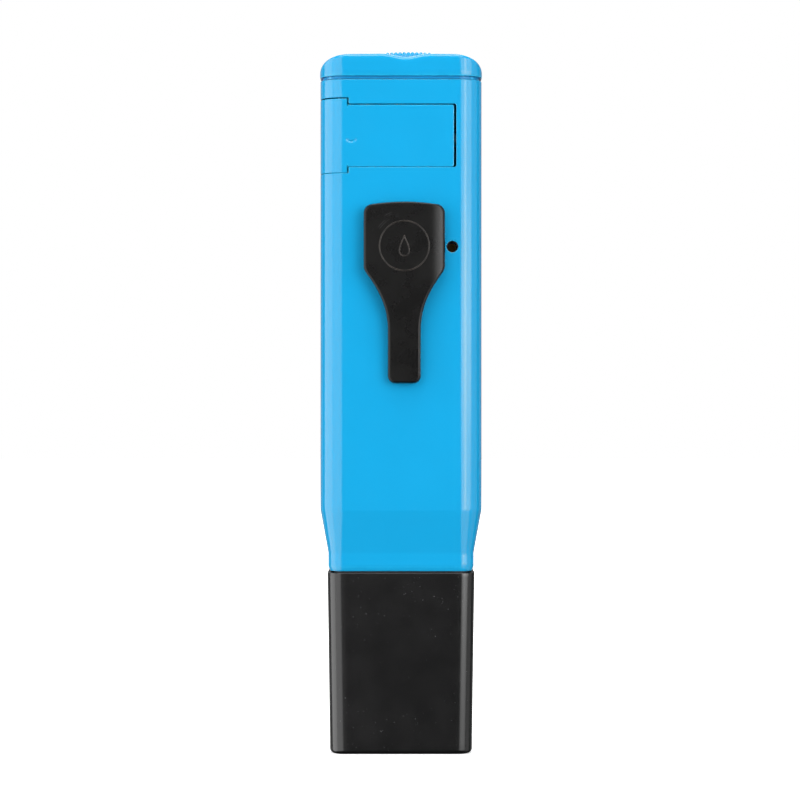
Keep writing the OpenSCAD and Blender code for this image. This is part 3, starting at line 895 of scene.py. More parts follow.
CARRIED_OVER = {
    "switch_lever": INNER_BLACK, "slide_switch": STEEL, "display_bezel": INNER_BLACK,
    "lcd_glass": DISPLAY_GREY, "zebra_strip_upper": SOFT_RUBBER, "zebra_strip_lower": SOFT_RUBBER,
    "circuit_board": BOARD_GREEN, "controller_chip": CHIP_BLACK, "amplifier_chip": CHIP_BLACK,
    "board_resistors": CHIP_BLACK, "board_capacitors": CERAMIC, "quartz_crystal": STEEL,
    "trimmer_body": TRIMMER_BLUE, "trimmer_screw": BRASS_SHADE_AND_GLINTS, "drawer_strip": NICKEL,
    "contact_spring": NICKEL, "contact_leaf": NICKEL, "board_screws": STEEL, "case_screws": STEEL,
    "clip_foot": BLACK_CLIP, "silver_wire": SILVER, "electrode_leads": LEAD,
}


# ---------------------------------------------------------------------------------------------
# Case
# ---------------------------------------------------------------------------------------------


@dataclass
class Case:
    """The two shells: a rounded rectangle whose sizes change with height, cut at the parting plane.

    The five heights are the lower edge, the lip's end, the neck's end, the taper's end and the top.
    """

    heights: tuple[float, ...] = (45.35, 46.55, 49.9, 60.5, 167.0)
    widths: tuple[float, ...] = (35.3, 36.2, 36.2, 40.1, 40.1)
    depths: tuple[float, ...] = (19.1, 20.0, 20.0, 23.0, 23.0)
    radii: tuple[float, ...] = (3.05, 3.5, 3.5, 5.7, 5.7)
    flat: float = 14.35
    face: float = 11.5
    wall: float = 1.6
    parting: float = 3.0
    step: float = 1.2
    hole_radius: float = 1.42
    hole_patch: float = 1.69
    hole_steps: int = 48
    tube: tuple[float, float] = (1.5, 4.6)
    tube_wall: float = 1.0
    # Wall of the thin black sleeve in the trimmer's bore: painted shade for the deep hole.
    shade_sleeve_wall: float = 0.07
    shelf_gap: float = 0.55
    shelf_half: float = 0.5
    shelf_inset: tuple[float, float] = (0.3, 1.3)
    shelf_end: tuple[float, float] = (14.5, 2.85)
    recess: float = 0.3
    lens_seat: float = 0.8
    label_gap: float = 0.1
    label_radius: float = 3.0
    view_rim: float = 1.6

    def half(self, side: int, face_x: np.ndarray, z: np.ndarray, start: float) -> np.ndarray:
        """Half of the case's surface, from the parting plane round one face and back.

        Across: straight side, quarter circle, face, quarter circle, straight side. Upwards:
        width, depth and radius run straight between the given heights.

        Args:
            side: -1 for the rear face, 1 for the front.
            face_x: Values across the face, at the full width.
            z: Heights.
            start: Y at which the straight sides start.

        Returns:
            Heights by stations by three.
        """
        sizes = (self.widths, self.depths, self.radii)
        w, d, r = (np.interp(z, self.heights, s)[:, None] for s in sizes)
        inner, turn = w / 2 - r, side * (d / 2 - r)
        t = np.linspace(0, 1, 6)[None]
        a = np.linspace(0, math.pi / 2, 19)[None]
        x = [-w / 2 + 0 * t[:, :-1], -inner - r * np.cos(a[:, :-1]), inner * face_x[None] / self.flat]
        x += [inner + r * np.sin(a[:, 1:]), w / 2 + 0 * t[:, 1:]]
        y = [start + (turn - start) * t[:, :-1], turn + side * r * np.sin(a[:, :-1])]
        y += [side * d / 2 + 0 * face_x[None], turn + side * r * np.cos(a[:, 1:])]
        y += [turn + (start - turn) * t[:, 1:]]
        across, through = np.concatenate(x, axis=1), np.concatenate(y, axis=1)
        return np.stack([across, through, np.broadcast_to(z[:, None], across.shape)], axis=2)

    def levels(self, cuts: Sequence[float]) -> np.ndarray:
        """Heights of the grid lines: close together at the taper, wider on the straight.

        Args:
            cuts: Heights that openings need.

        Returns:
            The heights.
        """
        foot, lip, neck, taper, top = self.heights
        bends = [lip] + [bend + near for bend in (neck, taper) for near in (-0.4, 0, 0.4)]
        straight = taper + 2
        below, above = lines(foot, straight, 0.9, bends), lines(straight, top, 3.0, cuts)
        return np.unique(np.concatenate([below, above]))

    def rear(self, drawer: Drawer) -> None:
        """Rear shell's skin, with the T-shaped drawer opening and the trimmer's round hole.

        The grid's own points are moved onto the arcs of the opening's two right-hand corners.
        The hole has a patch of its own in a square left out of the grid.

        Args:
            drawer: Gives the sizes of the opening.
        """
        hole, reach = face_of("trimmer_screw")[1], self.hole_patch
        end, r = drawer.opening_end, drawer.corner
        heads, tongues = drawer.span(drawer.head_h), drawer.span(drawer.tongue_h)
        steps = np.linspace(0, r, 4)
        u_hole = [*np.linspace(hole[0] - reach, end - r, 9), *np.linspace(end, self.flat, 3)]
        v_hole = np.linspace(hole[1] - reach, hole[1] + reach, 13)
        face_x = lines(-self.flat, self.flat, self.step, [drawer.head_x, *(end - steps), *u_hole])
        z = self.levels([*heads, *(tongues[0] + steps), *(tongues[1] - steps), *v_hole])
        points = self.half(-1, face_x, z, self.parting)
        x_mid, _, z_mid = cell_middles(points)
        head = (x_mid < drawer.head_x) & (z_mid > heads[0]) & (z_mid < heads[1])
        tongue = (x_mid < end) & (z_mid > tongues[0]) & (z_mid < tongues[1])
        around_hole = (np.abs(x_mid - hole[0]) < reach) & (np.abs(z_mid - hole[1]) < reach)
        for side, z_edge in zip((-1, 1), tongues):
            round_corner(points, (end - r, z_edge - side * r), r, side)
        skin = Skin().grid(points, keep=~(head | tongue | around_hole))
        u, v = (line[np.abs(line - at) < reach + NEAR] for line, at in zip((face_x, z), hole))
        patch = ring_patch(u, v, hole, (self.hole_radius,) * 2, self.hole_radius)
        skin.grid(np.insert(patch, 1, -self.face, axis=2), around=True)
        make_piece("rear_shell_skin", skin, BLUE, "case", ["rear_shell"], self.wall, 0.16)

    def rear_fittings(self, drawer: Drawer) -> None:
        """Shelves above and below the drawer, the tube behind the trimmer's hole, and a thin black sleeve
        in its bore, painted shade for the deep hole.

        Args:
            drawer: Gives the place of the shelves.
        """
        rear, bore = -self.face, self.hole_radius
        skin = Skin()
        for side in (-1, 1):
            shelf = drawer.middle + side * (drawer.tongue_h / 2 + self.shelf_gap)
            low = [drawer.head_x + self.shelf_inset[0], rear + self.shelf_inset[1], shelf - self.shelf_half]
            slab(skin, low, [*self.shelf_end, shelf + self.shelf_half], 0.1, 0.1, Axis.Z)
        hole, (start, end) = face_of("trimmer_screw")[1], (rear + y for y in self.tube)
        out, inner, edge = bore + self.tube_wall, bore - self.shade_sleeve_wall, 0.1
        tube = [[bore, start], [out, start], [out, end - edge], [out - edge, end], [bore, end]]
        turned(skin, np.array(tube), Axis.Y, hole, self.hole_steps, closed=True)
        make_piece("rear_shell_ribs", skin, BLUE, "case", ["rear_shell"])
        # A thin black sleeve inside the blue bore: painted shade, so that the deep hole reads dark.
        shade_sleeve = [[bore, rear + 0.25], [bore, end + edge], [inner, end + edge], [inner, rear + 0.3]]
        skin = turned(Skin(), np.array(shade_sleeve), Axis.Y, hole, self.hole_steps, closed=True)
        make_piece("trimmer_bore_painted_shade", skin, INNER_BLACK, "case")

    def front(self) -> None:
        """Front shell's skin, with a patch round the rounded opening for the label's frame."""
        size, middle = face_of("front_label")
        half = size / 2 + self.label_gap
        border = (self.flat, half[1] + self.flat - half[0])
        corner = np.linspace(0, self.label_radius + border[0] - half[0], 9)
        u_cuts, v_cuts = (np.concatenate([corner - edge, edge - corner]) for edge in border)
        face_x = lines(-self.flat, self.flat, self.step, u_cuts)
        z = self.levels(middle[1] + v_cuts)
        points = self.half(1, face_x, z, self.parting)
        x_mid, y_mid, z_mid = cell_middles(points)
        inside = (np.abs(x_mid) < border[0]) & (np.abs(z_mid - middle[1]) < border[1])
        skin = Skin().grid(points, keep=~(inside & (y_mid > self.face - NEAR)))
        v = z[np.abs(z - middle[1]) < border[1] + NEAR]
        patch = ring_patch(face_x, v, middle, half, self.label_radius)
        skin.grid(np.insert(patch, 1, self.face, axis=2), around=True)
        make_piece("front_shell_skin", skin, BLUE, "case", ["front_shell"], self.wall, 0.13)

    def frame(self) -> None:
        """Frame that the label and the window lie in: a closed loft round the view."""
        size, middle = face_of("front_label")
        lens, lens_at = face_of("display_window")
        outer, lens = size + 2 * self.label_gap + 0.04, lens + LENS_GAP
        view = lens - 2 * self.view_rim
        face, seat, back = (self.face - depth for depth in (self.recess, self.lens_seat, self.wall))
        shapes = [
            (outer, self.label_radius, face, middle), (lens, 1, face, lens_at), (lens, 1, seat, lens_at),
            (view, 0.8, seat, lens_at), (view, 0.8, back, lens_at),
            (outer, self.label_radius, back, middle),
        ]
        rings = [hoop(wide, radius, y, Axis.Y, at, PLATE_STEPS) for wide, radius, y, at in shapes]
        skin = Skin().loft(rings, closed=True)
        make_piece("front_frame", skin, BLUE, "case", ["front_shell"])


@dataclass
class Drawer:
    """Battery drawer: a T-shaped piece of the case's wall with the cells' tray behind it."""

    head_h: float = 18.68
    tongue_h: float = 15.64
    head_x: float = -12.95
    tongue_x: float = 13.08
    opening_end: float = 13.65
    corner: float = 0.5
    gap: float = 0.17
    sag: float = 0.09
    tray_front: float = 2.6
    tray_corner: float = 0.3
    tray_end: float = 1.1
    trough: float = 5.9
    trough_y: float = -3.9
    stack: tuple[float, float] = (-10.4, 11.75)
    window: tuple[float, float] = (6.0, 2.99)
    block: tuple[float, float, float] = (-14.95, 6.9, 6.1)
    block_radius: float = 3.4
    nail_mark: tuple[float, float] = (-12.3, 153.2)
    nail_radius: float = 1.45
    nail_width: float = 0.42
    nail_angle: float = 0.95
    nail_depth: float = 0.24
    middle: float = field(init=False)

    def __post_init__(self) -> None:
        """Takes the drawer's middle from its CAD node."""
        low, high = box_mm("battery_drawer")
        self.middle = float(low[2] + high[2]) / 2

    def span(self, height: float) -> tuple[float, float]:
        """Lower and upper end of a height about the drawer's middle."""
        return self.middle - height / 2, self.middle + height / 2

    def nail_groove(self, points: np.ndarray) -> np.ndarray:
        """Depth of the nail mark: a shallow crescent, a groove that follows part of a circle.

        It is a squared cosine across the groove, and fades as a cosine towards its two ends.

        Args:
            points: Grid of points.

        Returns:
            The depth at each point.
        """
        dx, dz = points[..., 0] - self.nail_mark[0], points[..., 2] - self.nail_mark[1]
        away, angle = np.hypot(dx, dz), np.arctan2(dx, -dz)
        across = np.cos(np.clip((away - self.nail_radius) / self.nail_width, -1, 1) * math.pi / 2) ** 2
        along = np.cos(np.clip(angle / self.nail_angle, -1, 1) * math.pi / 2) ** 0.7
        return self.nail_depth * across * along

    def skin(self, case: Case) -> None:
        """Visible wall of the drawer: the case's own surface, cut to the T less the gap.

        A fan of cells fills each of the tongue's two rounded corners.

        Args:
            case: Gives the surface.
        """
        g, r = self.gap, self.corner
        neck, past, rear = self.head_x - g, self.tongue_x - r, -case.face
        heads, tongues = self.span(self.head_h - 2 * g), self.span(self.tongue_h - 2 * g)
        nail_x, nail_z = self.nail_mark
        fine_x = np.linspace(nail_x - 1.7, nail_x + 1.7, 29)
        fine_z = np.linspace(nail_z - 2.1, nail_z - 0.2, 20)
        face_x = lines(-case.flat, case.flat, case.step, [neck, past, self.tongue_x, *fine_x])
        z = lines(*heads, case.step, [*tongues, tongues[0] + r, tongues[1] - r, *fine_z])
        points = case.half(-1, face_x, z, case.parting - g)
        x_mid, _, z_mid = cell_middles(points)
        keep = (x_mid < neck) | ((x_mid < self.tongue_x) & (z_mid > tongues[0]) & (z_mid < tongues[1]))
        for side, z_edge in zip((-1, 1), tongues):
            keep &= ~((x_mid > past) & (side * (z_mid - z_edge) > -r))
        on_face = np.abs(points[..., 1] - rear) < NEAR
        points[..., 1] += np.where(on_face, self.nail_groove(points), 0)
        points[..., 2] -= self.sag
        skin = Skin().grid(points, keep=keep)
        turn = np.linspace(0, math.pi / 2, 7)
        for side, z_edge in zip((-1, 1), tongues):
            z_arc = z_edge - side * r * (1 - np.sin(turn)) - self.sag
            arc = np.stack([past + r * np.cos(turn), np.full_like(turn, rear), z_arc], axis=1)
            pivot = np.broadcast_to([past, rear, z_edge - side * r - self.sag], arc.shape)
            skin.grid(np.stack([arc, pivot]))
        make_piece("drawer_skin", skin, BLUE, "drawer", ["battery_drawer"], case.wall, 0.2)

    def tray(self, case: Case) -> None:
        """Tray behind the skin: a trough of U section between two end walls, and two blocks.

        Args:
            case: Gives the wall's thickness.
        """
        half = self.span(self.tongue_h - 2 * self.gap)[1] - self.middle
        back, top, c = -case.face + case.wall - 0.05, self.tray_front, self.tray_corner
        (x0, x1), end, deep = self.stack, self.tongue_x, (back + top) / 2
        a = np.linspace(-math.pi / 2, math.pi / 2, 25)
        bowl = np.stack([self.trough_y - self.trough * np.cos(a), self.trough * np.sin(a)], axis=1)
        rim = [[top, self.trough], [top, half - c], [top - c, half], [back, half], [back, -half]]
        rim += [[top - c, -half], [top, -half + c], [top, -self.trough]]
        section = np.concatenate([bowl, np.array(rim)])
        trough = [lift(section, x, Axis.X, (0, self.middle)) for x in (x0, x1)]
        skin = Skin().grid(np.stack(trough), around=True)
        low, high = [x0 - self.tray_end, back, self.middle - half], [x0 + 0.01, top, self.middle + half]
        slab(skin, low, high, c, 0.05, Axis.X)
        size, steps, edge = (top - back, 2 * half), (6, 6, 4), 0.1
        plate = [
            hoop(size, c, x, Axis.X, (deep, self.middle), steps, inset)
            for x, inset in ((x1, 0), (end - edge, 0), (end, edge))
        ]
        wide, radius = self.window
        mouth = (self.trough_y, self.middle)
        plate += [hoop((wide, wide), radius, x, Axis.X, mouth, steps) for x in (end, x1)]
        skin.loft(plate, closed=True)
        block_x, block_w, block_low = self.block
        for side in (-1, 1):
            z = sorted((self.middle + side * block_low, self.middle + side * half))
            size = (block_w, top - back)
            skin.loft([hoop(size, self.block_radius, h, Axis.Z, (block_x, deep), (4, 6, 6)) for h in z])
        make_piece("drawer_tray", skin, BLUE, "drawer", ["battery_drawer"])

    def cells(self) -> None:
        """Four button cells: turned cans with a rolled rim and a raised pole."""
        roll_r, edge_r = 0.35, 0.4
        a = np.linspace(0, math.pi / 2, 6)
        for i in range(1, 5):
            low, high = box_mm(f"button_cell_{i}")
            middle = (low + high) / 2
            r, h = (high[2] - low[2]) / 2, high[0] - low[0]
            pole = np.array([[r * 0.78, 0], [r * 0.82, 0.08], [r * 0.85, 0.35], [r - 0.5, 0.42]])
            roll = np.stack([r - roll_r + roll_r * np.sin(a), 0.77 - roll_r * np.cos(a)], axis=1)
            end = np.stack([r - edge_r + edge_r * np.cos(a), h - edge_r + edge_r * np.sin(a)], axis=1)
            profile = np.concatenate([pole, roll, end]) + [0, low[0]]
            skin = turned(Skin(), profile, Axis.X, middle[1:], 72)
            make_piece(f"cell_{i}", skin, NICKEL, "drawer", [f"button_cell_{i}"])


# ---------------------------------------------------------------------------------------------
# Top cap and switch
# ---------------------------------------------------------------------------------------------


@dataclass
class TopCap:
    """Crowned cap over the case's upper end, with a finger scoop and the switch's slot."""

    low: float = 167.85
    high: float = 173.5
    radius: float = 5.8
    corner_w: float = 7.0
    corner_h: float = 3.8
    arch: float = 0.45
    edge: float = 1.2
    end_edge: float = 0.5
    scoop_x: float = 1.2
    scoop_half: float = 6.0
    scoop_depth: float = 0.9
    slot: tuple[float, float] = (15.5, 7.2)
    slot_radius: float = 0.5
    groove: tuple[float, float] = (38.8, 21.7)
    groove_radius: float = 5.3
    painted_shade_from: tuple[float, float] = (18.0, 9.6)
    plug: tuple[float, float] = (36.6, 19.5)
    plug_radius: float = 3.95
    plug_low: float = 163.6
    room: tuple[float, float] = (34.4, 17.3)
    room_radius: float = 2.9
    slit_top: float = 167.2
    roof: float = 171.0
    steps: tuple[int, int, int] = (72, 18, 12)

    def height(self, x: np.ndarray) -> np.ndarray:
        """Height of the crown: a low arch, with a quarter ellipse at each end, less the scoop.

        The arch is a parabola. The scoop is a squared cosine across its width.

        Args:
            x: Places across.

        Returns:
            The heights.
        """
        end = box_mm("top_cap")[1][0]
        u = np.clip((np.abs(x) - end + self.corner_w) / self.corner_w, 0, 1)
        ends = self.corner_h * (1 - np.sqrt(1 - u**2)) + self.arch * (x / end) ** 2
        s = np.clip((x - self.scoop_x) / self.scoop_half, -1, 1)
        return self.high - ends - self.scoop_depth * np.cos(s * math.pi / 2) ** 2

    def underside(self, size: Sequence[float]) -> list[np.ndarray]:
        """Rings from the plug's lower end, out round the groove and over the cap's lower edge.

        Args:
            size: Outer width and depth of the cap.

        Returns:
            The rings, from below.
        """
        shapes = [(self.plug, self.plug_radius, z, 0) for z in (self.plug_low, self.slit_top)]
        shapes += [(self.groove, self.groove_radius, z, 0) for z in (self.slit_top, self.low - 0.02)]
        edge = ((0.25, 0), (0.08, 0.06), (0, 0.25))
        shapes += [(size, self.radius, self.low + rise, inset) for inset, rise in edge]
        return [hoop(wide, r, z, steps=self.steps, inset=inset) for wide, r, z, inset in shapes]

    def crown(self, outer: np.ndarray, mouth: np.ndarray) -> list[np.ndarray]:
        """Rings up the wall, over its upper edge and in over the crown towards the slot.

        The edge is a quarter circle whose radius gets smaller towards the two ends. Each ring
        further in lies a given way along the line from the wall to the slot's mouth.

        Args:
            outer: Outline of the wall.
            mouth: Outline of the slot, with as many points.

        Returns:
            The rings, from the wall inwards.
        """
        away = np.abs(outer[:, 0])
        edge = np.interp(away, [away.max() - self.corner_w, away.max()], [self.edge, self.end_edge])
        foot, least = self.low + 0.3, self.low + 0.4
        rise = np.maximum(self.height(outer[:, 0]) - edge, least) - foot
        rings = [lift(outer, foot + rise * t, Axis.Z, (0, 0)) for t in (0.35, 0.7, 1.0)]
        way = mouth - outer
        span = np.linalg.norm(way, axis=1, keepdims=True)
        a = np.linspace(0, math.pi / 2, 10)[1:, None]
        inwards = np.array([0.25, 0.6, 1.0, 1.5, 2.1, 2.8, 3.7, 4.9, 6.3])[:, None]
        reaches = np.concatenate([edge * (1 - np.cos(a)), edge + inwards])
        drops = np.concatenate([edge * (1 - np.sin(a)), np.zeros((len(inwards), len(edge)))])
        for reach, drop in zip(reaches, drops):
            spot = outer + way * np.minimum(reach[:, None] / span, 0.94)
            rings.append(lift(spot, np.maximum(self.height(spot[:, 0]) - drop, least), Axis.Z, (0, 0)))
        return rings

    def make(self) -> None:
        """Builds the cap as one closed loft, from the plug up the outside and down the slot.

        The groove between the cap and the case gets a darker, duller blue: painted shade under the cap's
        overhang.
        """
        low, high = box_mm("top_cap")
        size = (high - low)[:2]
        outer = outline(*size, self.radius, *self.steps)
        mouth = outline(*self.slot, self.slot_radius, *self.steps)
        rings = self.underside(size) + self.crown(outer, mouth)
        rings.append(lift(mouth, self.height(mouth[:, 0]), Axis.Z, (0, 0)))
        rings.append(hoop(self.slot, self.slot_radius, self.roof, steps=self.steps))
        for z in (self.roof, self.plug_low):
            rings.append(hoop(self.room, self.room_radius, z, steps=self.steps))
        piece = make_piece(
            "top_cap_crown", Skin().loft(rings, closed=True), BLUE, "case", ["top_cap"]
        )
        # The groove's faces get the darker blue as a second material: painted shade under the cap.
        piece.data.materials.append(BLUE_PAINTED_SHADE.material())
        centre = np.zeros(len(piece.data.polygons) * 3)
        piece.data.polygons.foreach_get("center", centre)
        x, y, z = (centre.reshape(-1, 3) / MM).T
        outside_plug = (np.abs(x) > self.painted_shade_from[0]) | (np.abs(y) > self.painted_shade_from[1])
        painted_shade_faces = (z > self.slit_top - 0.01) & (z < self.low) & outside_plug
        piece.data.polygons.foreach_set("material_index", painted_shade_faces.astype(np.int32))


@dataclass
class Knob:
    """Sliding switch knob: ribs that wrap over an arched grip, on a flat flange."""

    grip: float = 11.5
    depth: float = 6.9
    ribs: int = 11
    rib_depth: float = 0.34
    rib_power: float = 1.3
    top: float = 175.0
    drop: float = 0.2
    side_share: float = 0.3
    flange: tuple[float, float] = (169.9, 170.7)
    shoulder: float = 0.9

    def make(self) -> None:
        """Builds the knob. Section across: an arch whose size shrinks by the rib's wave.

        The wave is a raised cosine with one crest for each rib, sharpened by a power.
        """
        low, high = box_mm("switch_knob")
        middle = (low[0] + high[0]) / 2
        t = np.linspace(-1, 1, self.ribs * 10 + 1)
        wave = self.rib_depth * (0.5 + 0.5 * np.cos(math.pi * self.ribs * (t + 1))) ** self.rib_power
        a = np.linspace(0, math.pi / 2, 7)
        half, s = self.depth / 2, self.shoulder
        right, up = half - s + s * np.cos(a), -s + s * np.sin(a)
        arch_y = np.concatenate([[half], right, -right[::-1], [-half]])
        arch_z = np.concatenate([[0], up, up[::-1], [0]])
        z = (self.top - self.drop * t**2 - wave)[:, None] + arch_z[None]
        z[:, [0, -1]] = self.flange[1] - 0.05
        x = np.broadcast_to(middle + t[:, None] * self.grip / 2, z.shape)
        shrink = 1 - self.side_share * wave[:, None] / half
        skin = Skin().loft(list(np.stack([x, arch_y[None] * shrink, z], axis=2)))
        slab(skin, [*low[:2], self.flange[0]], [*high[:2], self.flange[1]], 0.6, 0.1, Axis.Z)
        make_piece("knob_grip", skin, BLUE, "switch", ["switch_knob"], crease=50)


# ---------------------------------------------------------------------------------------------
# Display
# ---------------------------------------------------------------------------------------------


@dataclass
class Display:
    """Window, label, colour scale and the display's unlit segments."""

    film: float = 0.04
    film_radius: float = 2.9
    border: float = 1.3
    line_z: tuple[float, float] = (124.4, 64.6)
    line_half: float = 12.2
    line_w: float = 0.7
    scale_steps: int = 14
    scale_low: float = 71.0
    scale_pitch: float = 3.5
    patch_half: float = 4.5
    patch_h: float = 2.9
    digits: int = 3
    digit_h: float = 8.4
    digit_w: float = 4.4
    stroke: float = 0.8
    stroke_gap: float = 0.18
    pitch: float = 6.4

    def window(self) -> None:
        """Clear window: a plate with rounded corners and rounded front edges."""
        skin = slab(Skin(), *box_mm("display_window"), 0.9, 0.12, Axis.Y)
        make_piece("window_lens", skin, CLEAR_WINDOW, "case", ["display_window"])

    def label(self) -> None:
        """Label: a thin film with a hole for the window, a dark border round it, and two lines."""
        low, high = box_mm("front_label")
        (size, middle), (lens, lens_at) = face_of("front_label"), face_of("display_window")
        back, face, film, r = low[1], high[1], self.film, self.film_radius
        lens = lens + LENS_GAP
        shapes = [(size, r, back, middle), (size, r, face - film, middle)]
        shapes += [(size - 2 * film, r - film, face, middle)]
        shapes += [(lens, 1, face, lens_at), (lens, 1, back, lens_at)]
        rings = [hoop(wide, radius, y, Axis.Y, at, PLATE_STEPS) for wide, radius, y, at in shapes]
        skin = Skin().loft(rings, closed=True)
        make_piece("label_sheet", skin, LABEL_FILM, "case", ["front_label"])
        section = ((0.02, 0), (0.02, film), (self.border, film), (self.border, 0))
        rim = [hoop(lens, 1, face + rise, Axis.Y, lens_at, PLATE_STEPS, -out) for out, rise in section]
        make_piece("label_border", Skin().loft(rim, closed=True), LABEL_DARK, "case")
        band, half = Skin(), self.line_half
        for z in self.line_z:
            slab(band, [-half, face - 0.01, z], [half, face + film, z + self.line_w], 0.3, 0.01, Axis.Y)
        make_piece("label_lines", band, LABEL_DARK, "case")

    def colour_scale(self) -> None:
        """Colour scale: a column of plain printed patches, each with its own step value."""
        face, half = box_mm("front_label")[1][1], self.patch_half
        skin = Skin()
        for i in range(self.scale_steps):
            z = self.scale_low + i * self.scale_pitch
            low, high = [-half, face - 0.01, z], [half, face + 0.03, z + self.patch_h]
            slab(skin, low, high, 0.5, 0.01, Axis.Y)
        piece = make_piece("colour_scale", skin, COLOUR_SCALE, "case")
        height = np.zeros(len(piece.data.vertices) * 3)
        piece.data.vertices.foreach_get("co", height)
        step = np.floor((height[2::3] / MM - self.scale_low + 0.1) / self.scale_pitch)
        held = piece.data.attributes.new("step", "FLOAT", "POINT")
        held.data.foreach_set("value", (step / (self.scale_steps - 1)).astype(np.float32))

    def segments(self) -> None:
        """Unlit seven-segment digits: each stroke is a flat bar with pointed ends."""
        middle, y = face_of("lcd_glass")[1], box_mm("lcd_glass")[1][1] + 0.012
        w, h, s = self.digit_w, self.digit_h, self.stroke
        along = np.array([-0.5, -0.5 + s / 2 / w, 0.5 - s / 2 / w, 0.5])
        thick = np.array([0.02, s / 2, s / 2, 0.02])
        strokes = [(0, h / 2, 0), (0, 0, 0), (0, -h / 2, 0)]
        strokes += [(sx * w / 2, sz * h / 4, 1) for sx in (-1, 1) for sz in (-1, 1)]
        skin = Skin()
        for digit in range(self.digits):
            for x, z, upright in strokes:
                run = along * ((h / 2 if upright else w) - self.stroke_gap)
                rows = np.stack([np.stack([run, k * thick], axis=1) for k in (-1, 1)])
                if upright:
                    rows = rows[..., ::-1]
                at = middle + [(digit - (self.digits - 1) / 2) * self.pitch + x, z]
                skin.grid(np.insert(rows + at, 1, y, axis=2))
        make_piece("lcd_segments", skin, SEGMENT_GREY, "case", wall=0.02)


# ---------------------------------------------------------------------------------------------
# Pocket clip
# ---------------------------------------------------------------------------------------------


